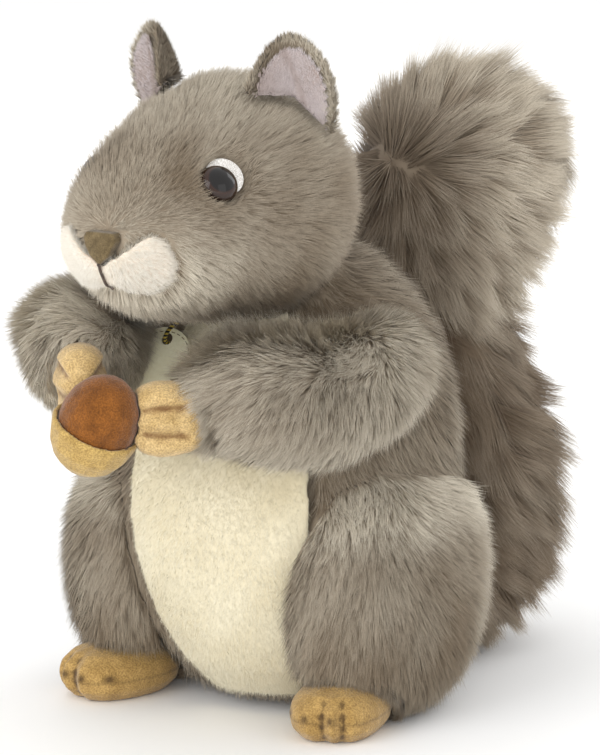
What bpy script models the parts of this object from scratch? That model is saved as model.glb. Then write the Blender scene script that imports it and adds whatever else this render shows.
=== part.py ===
# Plush squirrel sitting up and holding a plush acorn, with its tail curled up behind it.
# Metres, +Z up. It faces -Y and its left side is +X. The origin is on the ground, at the
# middle of the flat seat under the body.
# Each soft piece is drawn to the tips of its pile. Pieces that meet keep CLEARANCE between them:
# the later one is carved by the earlier one, the way a seam presses two stuffed pieces together.

import math

import bmesh
import bpy
from mathutils import Matrix, Vector

# Driving dimensions of the body and what it sits on
NECK_HEIGHT = 0.1245
BODY_WIDTH = 0.110
BODY_DEPTH = 0.106
BODY_BACK_SHIFT = 0.007
SHOULDER_BACK_SHIFT = 0.005
BODY_BELOW_SEAT = 0.008
NECK_INSIDE_HEAD = 0.026
PANEL_WIDTH = 0.066
PANEL_SIDE_SHIFT = 0.007
PANEL_BOTTOM = 0.004
PANEL_THICKNESS = 0.0032
PANEL_PROUD = 0.0006

# Driving dimensions of the head
HEAD_LENGTH = 0.104
HEAD_WIDTH = 0.084
HEAD_HEIGHT = 0.0785
HEAD_BACK = 0.012
NOSE_WIDTH = 0.012
NOSE_HEIGHT = 0.010
NOSE_PROUD = 0.0016
MUZZLE_WIDTH = 0.040
MUZZLE_DROP = 0.017
MUZZLE_PROUD = 0.0010
PATCH_DEPTH = 0.0025
EYE_DIAMETER = 0.0124
EYE_DOME = 0.0048
EYE_FROM_NOSE = 0.0275
EYE_TURN = 36.5
EYE_RECESS = 0.0056
SHANK_DIAMETER = 0.0032
SHANK_LENGTH = 0.0125
WASHER_DIAMETER = 0.014
WASHER_THICKNESS = 0.0016
FELT_DIAMETER = 0.0122
FELT_THICKNESS = 0.0009
FELT_OFFSET = 0.0045
EAR_WIDTH = 0.0285
EAR_HEIGHT = 0.0200
EAR_THICKNESS = 0.0056
EAR_CUP = 0.0075
EAR_ROOT = 0.0200
EAR_FROM_NOSE = 0.0680
EAR_RISE = 56.0
EAR_LEAN = 17.0
EAR_TURN = 30.0
LINING_MARGIN = 0.0026
LINING_THICKNESS = 0.0020

# Driving dimensions of the limbs
THIGH_WIDTH = 0.054
THIGH_DEPTH = 0.090
THIGH_HEIGHT = 0.092
THIGH_BULGE = 0.0135
DART_DEPTH = 0.0035
FOOT_WIDTH = 0.029
FOOT_LENGTH = 0.042
FOOT_HEIGHT = 0.0172
FOOT_SPLAY = 14.0
FOOT_REACH = 0.026
TOE_GROOVE = 0.0031
ARM_THICKNESS = 0.040
WRIST_THICKNESS = 0.036
SHOULDER_BELOW_NECK = 0.0115
ELBOW_DROP = 0.006
FAR_HAND_LIFT = 0.008
HAND_LENGTH = 0.030
HAND_HEIGHT = 0.024
HAND_THICKNESS = 0.0175
FINGER_GROOVE = 0.0036

# Driving dimensions of what it holds, its tail and its tag
ACORN_DIAMETER = 0.0245
ACORN_LENGTH = 0.0315
ACORN_REACH = 0.0950
ACORN_SIDE_SHIFT = 0.0008
ACORN_BELOW_NECK = 0.0200
ACORN_TILT = 27.0
ACORN_TURN = 2.0
CUP_SHARE = 0.47
CUP_WALL = 0.0013
TAIL_WIDTH = 0.080
TAIL_DEPTH = 0.058
TAIL_SIDE_SHIFT = 0.010
TAIL_BELOW_SEAT = 0.008
TAIL_LOCK = 0.0055
TAIL_LOCKS = 7
TAIL_SWAY = 1.5
TAIL_TIERS = 1.5
TAG_WIDTH = 0.018
TAG_HEIGHT = 0.030
TAG_THICKNESS = 0.0008
TAG_HOLE = 0.0040
TAG_SIDE_SHIFT = 0.021
TAG_BELOW_NECK = 0.004
TAG_PROUD = 0.0055
TAG_TILT = 27.0
TAG_TURN = 6.0
LOOP_THICKNESS = 0.0013
LOOP_DROP = 0.012

CLEARANCE = 0.0003

# Name, base colour, roughness
FINISHES = {
    "grey_plush": ((0.330, 0.290, 0.250), 0.95),
    "tail_plush": ((0.250, 0.215, 0.185), 0.95),
    "cream_plush": ((0.830, 0.780, 0.620), 0.95),
    "white_plush": ((0.860, 0.830, 0.760), 0.95),
    "nose_suede": ((0.120, 0.090, 0.050), 0.90),
    "ear_lining": ((0.450, 0.410, 0.410), 0.95),
    "tan_velour": ((0.620, 0.380, 0.150), 0.90),
    "rust_velour": ((0.320, 0.110, 0.040), 0.90),
    "eye_plastic": ((0.018, 0.010, 0.007), 0.08),
    "washer_plastic": ((0.600, 0.600, 0.580), 0.45),
    "white_felt": ((0.880, 0.870, 0.840), 0.95),
    "tag_card": ((0.800, 0.760, 0.540), 0.60),
    "gold_cord": ((0.520, 0.400, 0.060), 0.50),
}

SIDES = {"left": 1, "right": -1}


# Scene, materials and objects

def clear_scene():
    for old in list(bpy.data.objects):
        bpy.data.objects.remove(old, do_unlink=True)


def make_collection(name):
    made = bpy.data.collections.new(name)
    bpy.context.scene.collection.children.link(made)
    return made


def make_material(name):
    colour, roughness = FINISHES[name]
    made = bpy.data.materials.new(name)
    made.use_nodes = True
    shader = made.node_tree.nodes["Principled BSDF"]
    shader.inputs["Base Color"].default_value = (*colour, 1)
    shader.inputs["Roughness"].default_value = roughness
    shader.inputs["Metallic"].default_value = 0
    made.diffuse_color = (*colour, 1)
    return made


def add_object(name, mesh, finish):
    """An object of this mesh, in the object's collection and under its seat empty."""
    made = bpy.data.objects.new(name, mesh)
    parts.objects.link(made)
    made.parent = seat
    mesh.materials.clear()
    mesh.materials.append(materials[finish])
    mesh.shade_smooth()
    bpy.context.view_layer.update()
    return made


def hidden_object(name, mesh):
    made = bpy.data.objects.new(name, mesh)
    cutters.objects.link(made)
    made.hide_render = True
    made.display_type = "WIRE"
    return made


def mesh_of(form, name):
    """The bmesh as a mesh with its faces pointing outwards. The bmesh is freed. Bent quads are split
    here, so that a piece and the cutter made from it bend along the same diagonals."""
    bmesh.ops.triangulate(form, faces=[face for face in form.faces if len(face.verts) == 4])
    bmesh.ops.recalc_face_normals(form, faces=form.faces[:])
    mesh = bpy.data.meshes.new(name)
    form.to_mesh(mesh)
    form.free()
    return mesh


# Forms

def blunt(t, power=2.0):
    """The half-width at t of a round form that closes at 0 and at 1. A higher power is blunter."""
    return (1 - abs(2 * t - 1) ** power) ** (1 / power)


def graded(keys, t):
    """The value at t of a smooth curve through (place, value) keys. Values are numbers or Vectors."""
    last = len(keys) - 1
    i = max(k for k in range(last) if k == 0 or keys[k][0] <= t)
    place, value = keys[i]
    next_place, next_value = keys[i + 1]
    span = next_place - place
    s = min(max((t - place) / span, 0), 1)

    def slope(k):
        before, after = keys[max(k - 1, 0)], keys[min(k + 1, last)]
        return (after[1] - before[1]) * (span / (after[0] - before[0]))

    near = value * (2 * s**3 - 3 * s**2 + 1) + slope(i) * (s**3 - 2 * s**2 + s)
    return near + next_value * (3 * s**2 - 2 * s**3) + slope(i + 1) * (s**3 - s**2)


def rounded_power(value, power):
    return math.copysign(abs(value) ** (2 / power), value)


def section_point(section, angle):
    """A point of a superellipse section, which is (centre, half-axis, half-axis, squareness)."""
    centre, across, up, power = section
    return (
        centre
        + across * rounded_power(math.cos(angle), power)
        + up * rounded_power(math.sin(angle), power)
    )


def lofted(name, section_at, rings, sides, warp=None):
    """A closed form through the sections that section_at gives from 0 to 1, pointed at both ends."""
    form = bmesh.new()
    levels = []
    for ring in range(rings + 1):
        t = (1 - math.cos(math.pi * ring / rings)) / 2
        section = section_at(t)
        count = sides if 0 < ring < rings else 1
        level = []
        for side in range(count):
            angle = 2 * math.pi * side / sides
            point = section_point(section, angle) if count > 1 else section[0]
            level.append(form.verts.new(warp(point, t, angle) if warp else point))
        levels.append(level)
    for low, high in zip(levels, levels[1:]):
        for side in range(sides):
            after = (side + 1) % sides
            corners = [low[side % len(low)], low[after % len(low)]]
            corners += [high[after % len(high)], high[side % len(high)]]
            form.faces.new(list(dict.fromkeys(corners)))
    return mesh_of(form, name)


def parted(value, place):
    """How deep a stitched groove is at this value, from 1 at its place to 0 beside it."""
    return math.exp(-(((value - place) / 0.09) ** 2))


def disc(name, radius, thickness, sides):
    """A short cylinder on the XY plane, from 0 up to its thickness."""
    form = bmesh.new()
    bmesh.ops.create_cone(
        form, cap_ends=True, segments=sides, radius1=radius, radius2=radius, depth=thickness,
        matrix=Matrix.Translation((0, 0, thickness / 2)),
    )
    return mesh_of(form, name)


# Seams: a piece is carved by its neighbours, each grown by the clearance

def evaluated_copy(piece):
    graph = bpy.context.evaluated_depsgraph_get()
    mesh = bpy.data.meshes.new_from_object(piece.evaluated_get(graph))
    mesh.transform(piece.matrix_world)
    return mesh


def grown_copy(piece, distance):
    """A cutter: the piece with each face moved out by the distance, or in where it is negative."""
    form = bmesh.new()
    mesh = evaluated_copy(piece)
    form.from_mesh(mesh)
    bpy.data.meshes.remove(mesh)
    form.normal_update()
    for vertex, normal in [(v, v.normal.copy()) for v in form.verts]:
        vertex.co += normal * distance * min(vertex.calc_shell_factor(), 2.0)
    return hidden_object(piece.name + "_cutter", mesh_of(form, "cutter"))


def boolean(piece, cutter, operation):
    """Applies one Boolean to the piece and removes the cutter. The exact solver drops whole bodies
    from these many-sided skins where they nearly coincide, so the manifold one cuts them."""
    step = piece.modifiers.new(operation.lower(), "BOOLEAN")
    step.operation = operation
    step.object = cutter
    step.solver = "MANIFOLD"
    bpy.context.view_layer.update()
    graph = bpy.context.evaluated_depsgraph_get()
    mesh = bpy.data.meshes.new_from_object(piece.evaluated_get(graph))
    piece.modifiers.clear()
    piece.data = mesh
    bpy.data.objects.remove(cutter, do_unlink=True)
    bpy.context.view_layer.update()


def box_of(piece):
    corners = [piece.matrix_world @ Vector(corner) for corner in piece.bound_box]
    low = Vector(min(c[axis] for c in corners) for axis in range(3))
    high = Vector(max(c[axis] for c in corners) for axis in range(3))
    return low, high


def boxes_meet(a, b, margin):
    (low_a, high_a), (low_b, high_b) = box_of(a), box_of(b)
    return all(
        low_a[axis] - margin < high_b[axis] and low_b[axis] - margin < high_a[axis]
        for axis in range(3)
    )


def island_size(island):
    """The diagonal of an island's box."""
    spans = [[vertex.co[axis] for vertex in island] for axis in range(3)]
    return sum((max(span) - min(span)) ** 2 for span in spans)


def keep_largest(piece):
    """Drops the loose scraps that a cut leaves beside the main body."""
    form = bmesh.new()
    form.from_mesh(piece.data)
    left = set(form.verts)
    islands = []
    while left:
        edge_of_search = [left.pop()]
        island = set(edge_of_search)
        while edge_of_search:
            vertex = edge_of_search.pop()
            near = {edge.other_vert(vertex) for edge in vertex.link_edges} & left
            left -= near
            island |= near
            edge_of_search.extend(near)
        islands.append(island)
    islands.sort(key=island_size)
    scraps = [vertex for island in islands[:-1] for vertex in island]
    bmesh.ops.delete(form, geom=scraps, context="VERTS")
    form.to_mesh(piece.data)
    form.free()


def carve(piece, *neighbours, gap=CLEARANCE):
    for neighbour in neighbours:
        if boxes_meet(piece, neighbour, gap):
            boolean(piece, grown_copy(neighbour, gap), "DIFFERENCE")
    keep_largest(piece)


def cut_flat(piece):
    """Cuts off what lies below the ground, which leaves a flat underside."""
    form = bmesh.new()
    bmesh.ops.create_cube(form, size=1, matrix=Matrix.Translation((0, 0, -0.5)))
    boolean(piece, hidden_object("ground_cutter", mesh_of(form, "ground")), "DIFFERENCE")
    keep_largest(piece)


# Body and belly panel

body_top = NECK_HEIGHT + NECK_INSIDE_HEAD
body_height = body_top + BODY_BELOW_SEAT


def body_section(t):
    """The body's level section at the share t of its height, from below the seat to the neck."""
    height = t * body_height - BODY_BELOW_SEAT
    wide = BODY_WIDTH / 2 * blunt(t, 2.1) * graded(((0, 1.0), (0.48, 1.02), (0.78, 1.05), (1, 1.03)), t)
    deep = BODY_DEPTH / 2 * blunt(t, 2.1) * graded(((0, 1.0), (0.48, 1.0), (0.78, 0.88), (1, 0.88)), t)
    back = BODY_BACK_SHIFT + SHOULDER_BACK_SHIFT * graded(((0, 0.0), (0.45, 0.0), (0.8, 1.0), (1, 0.5)), t)
    return Vector((0, back, height)), Vector((wide, 0, 0)), Vector((0, deep, 0)), 2.1


def body_at(height):
    return body_section((height + BODY_BELOW_SEAT) / body_height)


def body_front(x, height):
    """How far forward (to -Y) the body reaches at this place of its front."""
    centre, across, up, power = body_at(height)
    share = min(abs(x) / across.x, 0.999)
    return centre.y - up.y * (1 - share**power) ** (1 / power)


def build_body():
    body = add_object("body", lofted("body", body_section, 14, 20), "grey_plush")
    cut_flat(body)
    return body


def panel_half_width(t):
    """Half the belly panel's width at the share t of its height: a wide belly, a narrow bib."""
    keys = ((0, 0.45), (0.12, 0.72), (0.35, 0.96), (0.62, 1.0), (0.82, 0.74), (1, 0.52))
    return PANEL_WIDTH / 2 * graded(keys, t)


def build_belly_panel():
    """The cream front panel, sewn into the body: an open surface on its front, made solid."""
    columns, rows = 7, 11
    form = bmesh.new()
    bmesh.ops.create_grid(form, x_segments=columns, y_segments=rows, size=1)
    for vertex in form.verts:
        across, along = vertex.co.x, (vertex.co.y + 1) / 2
        x = PANEL_SIDE_SHIFT * (1 - along) + panel_half_width(along) * across
        height = PANEL_BOTTOM + (NECK_HEIGHT + 0.3 * NECK_INSIDE_HEAD - PANEL_BOTTOM) * along
        vertex.co = (x, body_front(x, height) - PANEL_PROUD, height)
    panel = add_object("belly_panel", mesh_of(form, "belly_panel"), "cream_plush")
    front = panel.data.polygons[0].normal.y
    shell = panel.modifiers.new("thickness", "SOLIDIFY")
    shell.thickness = PANEL_THICKNESS
    shell.offset = -1 if front < 0 else 1
    shell.use_even_offset = True
    panel.data = bpy.data.meshes.new_from_object(
        panel.evaluated_get(bpy.context.evaluated_depsgraph_get())
    )
    panel.modifiers.clear()
    return panel


# Head, face and ears

head_front = HEAD_BACK - HEAD_LENGTH
head_centre_height = NECK_HEIGHT + HEAD_HEIGHT / 2


def head_section(t):
    """The head's upright section at the share t of its length, from the nose to the back."""
    wide = HEAD_WIDTH / 2 * blunt(t, 2.5) * graded(
        ((0, 0.70), (0.12, 0.75), (0.38, 0.84), (0.62, 0.98), (1, 1.02)), t)
    tall = HEAD_HEIGHT / 2 * blunt(t, 2.5) * graded(
        ((0, 0.50), (0.12, 0.66), (0.24, 0.74), (0.38, 0.84), (0.60, 1.0), (1, 1.06)), t)
    lift = HEAD_HEIGHT * graded(((0, -0.095), (0.12, -0.07), (0.38, -0.035), (0.6, 0.0), (1, 0.0)), t)
    centre = Vector((0, head_front + HEAD_LENGTH * t, head_centre_height + lift))
    return centre, Vector((wide, 0, 0)), Vector((0, 0, tall)), 2.05


def head_point(from_nose, angle):
    """A point of the head's surface, at this distance from the nose and this turn from its left."""
    return section_point(head_section(from_nose / HEAD_LENGTH), angle)


def head_frame(from_nose, angle):
    """A frame on the head's surface: Z outwards, Y up the surface towards the crown's middle."""
    step = 0.02
    here = head_point(from_nose, angle)
    back = head_point(from_nose + step * HEAD_LENGTH, angle) - here
    round_up = head_point(from_nose, angle + step) - here
    outwards = round_up.cross(back).normalized()
    if outwards.dot(here - head_section(from_nose / HEAD_LENGTH)[0]) < 0:
        outwards = -outwards
    up = (round_up - outwards * round_up.dot(outwards)).normalized()
    frame = Matrix((up.cross(outwards), up, outwards)).transposed().to_4x4()
    frame.translation = here
    return frame


def mirrored(side):
    """The change of place that takes a left piece to this side."""
    return Matrix.Diagonal((SIDES[side], 1, 1, 1))


def mirror_mesh(mesh, side):
    """Turns a left piece's mesh, in world space, into this side's."""
    mesh.transform(mirrored(side))
    if SIDES[side] < 0:
        mesh.flip_normals()
    return mesh


def eye_disc(frame, radius, low, high, sides, shift=(0, 0)):
    """A disc square to an eye's axis, between two heights along it."""
    mesh = disc("disc", radius, high - low, sides)
    mesh.transform(frame @ Matrix.Translation((*shift, low)))
    return mesh


def build_eye(side):
    """One eye: the dome on its post, the felt behind it, the washer inside, and their socket."""
    frame = head_frame(EYE_FROM_NOSE, math.radians(EYE_TURN))
    radius = EYE_DIAMETER / 2
    felt_floor = -EYE_RECESS
    dome_floor = felt_floor + FELT_THICKNESS + CLEARANCE
    post_end = dome_floor - SHANK_LENGTH
    washer_top = dome_floor - SHANK_LENGTH * 0.6
    behind = Vector((0.92, 0.40)).normalized() * FELT_OFFSET

    dome = bmesh.new()
    bmesh.ops.create_uvsphere(dome, u_segments=16, v_segments=8, radius=1)
    lower = [v for v in dome.verts if v.co.z < -0.01]
    bmesh.ops.delete(dome, geom=lower, context="VERTS")
    bmesh.ops.contextual_create(dome, geom=[e for e in dome.edges if e.is_boundary])
    bmesh.ops.scale(dome, vec=(radius, radius, EYE_DOME), verts=dome.verts[:])
    bmesh.ops.translate(dome, vec=(0, 0, dome_floor), verts=dome.verts[:])
    dome_mesh = mesh_of(dome, "eye")
    dome_mesh.transform(frame)
    eye = add_object("eye_" + side, mirror_mesh(dome_mesh, side), "eye_plastic")
    post_mesh = eye_disc(frame, SHANK_DIAMETER / 2, post_end, dome_floor + EYE_DOME * 0.4, 8)
    boolean(eye, hidden_object("post", mirror_mesh(post_mesh, side)), "UNION")

    felt_mesh = eye_disc(frame, FELT_DIAMETER / 2, felt_floor, felt_floor + FELT_THICKNESS, 16, behind)
    felt = add_object("eye_white_" + side, mirror_mesh(felt_mesh, side), "white_felt")
    washer_mesh = eye_disc(frame, WASHER_DIAMETER / 2, washer_top - WASHER_THICKNESS, washer_top, 12)
    washer = add_object("eye_washer_" + side, mirror_mesh(washer_mesh, side), "washer_plastic")
    carve(felt, eye)
    carve(washer, eye)

    above = EYE_DOME + EYE_RECESS
    washer_room = WASHER_DIAMETER / 2 + CLEARANCE
    rooms = [
        eye_disc(frame, radius + CLEARANCE, dome_floor - CLEARANCE, above, 16),
        eye_disc(frame, FELT_DIAMETER / 2 + CLEARANCE, felt_floor - CLEARANCE, above * 0.9, 16, behind),
        eye_disc(frame, SHANK_DIAMETER / 2 + CLEARANCE, post_end - CLEARANCE, above * 0.5, 8),
        eye_disc(frame, washer_room, washer_top - WASHER_THICKNESS - CLEARANCE, washer_top + CLEARANCE, 12),
    ]
    socket = hidden_object("socket", mirror_mesh(rooms[0], side))
    for room in rooms[1:]:
        boolean(socket, hidden_object("room", mirror_mesh(room, side)), "UNION")
    return [eye, felt, washer], socket


def prism_across_face(name, outline, back):
    """A cutter: a face-on outline of (x, height) points, from in front of the nose back to a plane."""
    form = bmesh.new()
    front = head_front - HEAD_LENGTH * 0.2
    ring = [form.verts.new((x, front, z)) for x, z in outline]
    face = form.faces.new(ring)
    moved = bmesh.ops.extrude_face_region(form, geom=[face])["geom"]
    bmesh.ops.translate(
        form, vec=(0, back - front, 0), verts=[v for v in moved if isinstance(v, bmesh.types.BMVert)]
    )
    return hidden_object(name + "_cutter", mesh_of(form, name))


def face_patch(name, head, outline, back, proud, finish):
    """A patch of the face: the head's surface inside the outline, raised a little and sunk a little."""
    patch = grown_copy(head, proud)
    mesh = patch.data.copy()
    bpy.data.objects.remove(patch, do_unlink=True)
    made = add_object(name, mesh, finish)
    boolean(made, prism_across_face(name, outline, back), "INTERSECT")
    boolean(made, grown_copy(head, -PATCH_DEPTH), "DIFFERENCE")
    keep_largest(made)
    return made


def face_outlines():
    """The nose's triangle and the white muzzle's two lobes, as (x, height) points seen face on."""
    tip = head_section(0)[0].z
    half = NOSE_WIDTH / 2
    nose_low, nose_high = tip - NOSE_HEIGHT * 0.45, tip + NOSE_HEIGHT * 0.55
    nose = [(0, nose_low), (half * 0.55, nose_low + NOSE_HEIGHT * 0.28)]
    nose += [(half, nose_high - NOSE_HEIGHT * 0.22), (half * 0.8, nose_high), (-half * 0.8, nose_high)]
    nose += [(-x, z) for x, z in reversed(nose[1:3])]
    wide = MUZZLE_WIDTH / 2
    low = nose_low - MUZZLE_DROP * 0.40
    side = [(0.30, low - MUZZLE_DROP * 0.10), (0.62, low - MUZZLE_DROP * 0.12)]
    side += [(0.90, low + MUZZLE_DROP * 0.12), (1.0, low + MUZZLE_DROP * 0.50)]
    side += [(0.92, low + MUZZLE_DROP * 0.88), (0.74, low + MUZZLE_DROP)]
    side += [(0.50, low + MUZZLE_DROP * 0.78), (0.28, nose_low + NOSE_HEIGHT * 0.30)]
    right = [(x * wide, z) for x, z in side]
    muzzle = [(0, low), *right, (0, nose_low + NOSE_HEIGHT * 0.15)]
    muzzle += [(-x, z) for x, z in reversed(right)]
    return nose, muzzle


def grown_outline(outline, distance):
    """The outline with each of its sides moved out by the distance."""
    points = [Vector(point) for point in outline]
    around = list(zip(points[-1:] + points[:-1], points, points[1:] + points[:1]))
    turned = 1 if sum(here.cross(after) for _, here, after in around) > 0 else -1
    grown = []
    for before, here, after in around:
        sides = [(here - before).normalized(), (after - here).normalized()]
        first, second = (Vector((side.y, -side.x)) * turned for side in sides)
        grown.append(here + (first + second) * distance / (1 + first.dot(second)))
    return grown


def build_face(head):
    """Nose and muzzle, each sewn into the front of the head, and the one pocket that holds them."""
    nose_outline, muzzle_outline = face_outlines()
    nose_back = head_front + HEAD_LENGTH * 0.11
    muzzle_back = head_front + HEAD_LENGTH * 0.20
    nose = face_patch("nose", head, nose_outline, nose_back, NOSE_PROUD, "nose_suede")
    muzzle = face_patch("muzzle", head, muzzle_outline, muzzle_back, MUZZLE_PROUD, "white_plush")
    carve(muzzle, nose)
    pocket = prism_across_face("pocket", grown_outline(nose_outline, CLEARANCE), nose_back + CLEARANCE)
    beside = prism_across_face("beside", grown_outline(muzzle_outline, CLEARANCE), muzzle_back + CLEARANCE)
    boolean(pocket, beside, "UNION")
    boolean(pocket, grown_copy(head, -PATCH_DEPTH - CLEARANCE), "DIFFERENCE")
    return [nose, muzzle], pocket


def ear_frame():
    """The left ear's frame: origin at its root inside the head, Z up the ear, Y to its back."""
    foot = head_point(EAR_FROM_NOSE, math.radians(EAR_RISE))
    turn = Matrix.Rotation(math.radians(EAR_TURN), 4, "Z") @ Matrix.Rotation(math.radians(EAR_LEAN), 4, "X")
    return Matrix.Translation(foot) @ turn @ Matrix.Translation((0, 0, -EAR_ROOT))


def ear_form(name, margin, thickness, front, frame, side):
    """A pointed oval leaf, cupped forwards, with one soft fold up the inside."""
    tall = EAR_HEIGHT + EAR_ROOT - 2 * margin
    shape = ((0, 0.80), (0.35, 1.0), (0.59, 1.0), (0.79, 0.86), (0.94, 0.60), (1, 0.42))

    def section(t):
        wide = (EAR_WIDTH / 2 - margin) * graded(shape, t) * blunt(t, 3.4)
        thick = thickness / 2 * blunt(t, 3.4)
        return Vector((0, 0, margin + tall * t)), Vector((wide, 0, 0)), Vector((0, thick, 0)), 2.0

    def cupped(point, t, angle):
        share = point.x / (EAR_WIDTH / 2)
        fold = math.exp(-(((share - 0.05) / 0.16) ** 2)) * math.sin(math.pi * t)
        rim = abs(share) ** 2 * (1.25 if share < 0 else 0.8)
        shift = EAR_CUP * (0.25 * fold - rim)
        return point + Vector((0, shift + front, 0))

    mesh = lofted(name, section, 10, 12, cupped)
    mesh.transform(frame)
    return mirror_mesh(mesh, side)


def build_ear(side, head):
    """One ear: the plush shell, and the smooth lining sewn into its front."""
    frame = ear_frame()
    lining_front = -(EAR_THICKNESS / 2 + LINING_THICKNESS * 0.05)
    lining_mesh = ear_form(
        "lining", LINING_MARGIN, LINING_THICKNESS, lining_front, frame, side)
    lining = add_object("ear_lining_" + side, lining_mesh, "ear_lining")
    shell_mesh = ear_form("shell", 0, EAR_THICKNESS, 0, frame, side)
    shell = add_object("ear_" + side, shell_mesh, "grey_plush")
    carve(lining, head)
    carve(shell, head, lining)
    return [shell, lining]


def build_head():
    """The head with what is set in it. The eyes' pockets open outwards, round their domes."""
    head = add_object("head", lofted("head", head_section, 17, 20), "grey_plush")
    face, pocket = build_face(head)
    boolean(head, pocket, "DIFFERENCE")
    keep_largest(head)
    for side in SIDES:
        pieces, socket = build_eye(side)
        boolean(head, socket, "DIFFERENCE")
        face += pieces
    ears = [piece for side in SIDES for piece in build_ear(side, head)]
    return head, face, ears


# Acorn

acorn_centre = Vector((ACORN_SIDE_SHIFT, -ACORN_REACH, NECK_HEIGHT - ACORN_BELOW_NECK))


def build_acorn():
    """A rust nut seated in a tan cup, tilted so that the nut shows to the left front."""
    tilt, turn = math.radians(ACORN_TILT), math.radians(ACORN_TURN)
    lean = Matrix.Rotation(tilt, 4, "Y") @ Matrix.Rotation(turn, 4, "X")
    place = Matrix.Translation(acorn_centre) @ lean

    def nut_section(t):
        radius = ACORN_DIAMETER / 2 * blunt(t, 2.1)
        centre = Vector((0, 0, ACORN_LENGTH * (t - 0.5)))
        return centre, Vector((radius, 0, 0)), Vector((0, radius, 0)), 2.0

    nut_mesh = lofted("nut", nut_section, 9, 14)
    nut_mesh.transform(place)
    nut = add_object("acorn_nut", nut_mesh, "rust_velour")
    cup = grown_copy(nut, CUP_WALL + CLEARANCE)
    cup_mesh = cup.data.copy()
    bpy.data.objects.remove(cup, do_unlink=True)
    cup = add_object("acorn_cup", cup_mesh, "tan_velour")
    form = bmesh.new()
    bmesh.ops.create_cube(form, size=1, matrix=Matrix.Translation((0, 0, 0.5)))
    opening_mesh = mesh_of(form, "opening")
    opening_mesh.transform(place @ Matrix.Translation((0, 0, ACORN_LENGTH * (CUP_SHARE - 0.5))))
    boolean(cup, hidden_object("opening_cutter", opening_mesh), "DIFFERENCE")
    carve(cup, nut)
    return [nut, cup]


# Arms and hands

def hand_ends(side):
    """Where one hand starts inside its sleeve, and where its fingertips reach the acorn."""
    lift = FAR_HAND_LIFT if side == "right" else 0
    tips = acorn_centre + Vector((ACORN_DIAMETER / 2 * 0.60, ACORN_DIAMETER / 2 * 0.30, 0.001 + lift))
    along = Vector((0.60, 0.80, -0.02))
    return tips + along * HAND_LENGTH, tips


def build_hand(side, acorn):
    """A velour mitten with two stitched grooves that part its fingers."""
    start, tips = hand_ends(side)
    along = (tips - start).normalized()
    up = Vector((0, 0, 1))
    outwards = up.cross(along).normalized()

    def section(t):
        tall = HAND_HEIGHT / 2 * blunt(t, 2.6) * graded(((0, 0.70), (0.35, 0.90), (0.7, 1.0), (1, 0.95)), t)
        thick = HAND_THICKNESS / 2 * blunt(t, 2.6) * graded(((0, 0.85), (0.6, 1.0), (1, 0.9)), t)
        return start.lerp(tips, t), outwards * thick, up * tall, 2.3

    def fingered(point, t, angle):
        centre = start.lerp(tips, t)
        depth = FINGER_GROOVE * min(max((t - 0.30) / 0.25, 0), 1)
        groove = parted(abs(math.sin(angle)), math.sin(math.radians(18)))
        inwards = centre + up * (point - centre).dot(up) - point
        return point + inwards * depth / (HAND_THICKNESS / 2) * groove

    mesh = lofted("hand", section, 10, 20, fingered)
    hand = add_object("hand_" + side, mirror_mesh(mesh, side), "tan_velour")
    carve(hand, *acorn)
    return hand


def build_arm(side, hand, neighbours):
    """A stuffed plush sleeve from the shoulder to the wrist, which the hand comes out of."""
    start, tips = hand_ends(side)
    lift = FAR_HAND_LIFT if side == "right" else 0
    shoulder_height = NECK_HEIGHT - SHOULDER_BELOW_NECK
    at_shoulder = body_at(shoulder_height)
    shoulder_x = at_shoulder[1].x - ARM_THICKNESS * 0.10
    root_y = at_shoulder[0].y - 0.2 * ARM_THICKNESS
    root = Vector((shoulder_x - ARM_THICKNESS * 0.35, root_y, shoulder_height))
    shoulder = Vector((shoulder_x, root.y - 0.35 * ARM_THICKNESS, shoulder_height - 0.1 * ELBOW_DROP))
    cuff = start.lerp(tips, 0.46)
    elbow = shoulder.lerp(cuff, 0.40) + Vector((0.17 * ARM_THICKNESS, 0, -ELBOW_DROP * 0.8 + lift * 0.3))
    above = 0.10 * ARM_THICKNESS + lift * 0.1
    forearm = elbow.lerp(cuff, 0.48) + Vector((0.06 * ARM_THICKNESS, 0, above))
    path = ((0, root), (0.24, shoulder), (0.5, elbow), (0.75, forearm), (1, cuff))
    slimming = WRIST_THICKNESS / ARM_THICKNESS
    thick = [(0, 0.95), (0.3, 1.0), (0.6, 1.04), (0.8, 0.5 + 0.58 * slimming)]
    thick += [(0.92, slimming), (1, slimming)]

    def section(t):
        step = 0.01
        along = (graded(path, min(t + step, 1)) - graded(path, max(t - step, 0))).normalized()
        across = along.cross(Vector((0, 0, 1))).normalized()
        radius = ARM_THICKNESS / 2 * blunt(t, 3.2) * graded(thick, t)
        return graded(path, t), across * radius, across.cross(along).normalized() * radius, 2.0

    mesh = lofted("arm", section, 10, 12)
    arm = add_object("arm_" + side, mirror_mesh(mesh, side), "grey_plush")
    carve(arm, hand, *neighbours)
    return arm


# Thighs and feet

thigh_x = BODY_WIDTH / 2 + THIGH_BULGE - THIGH_WIDTH / 2


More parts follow.
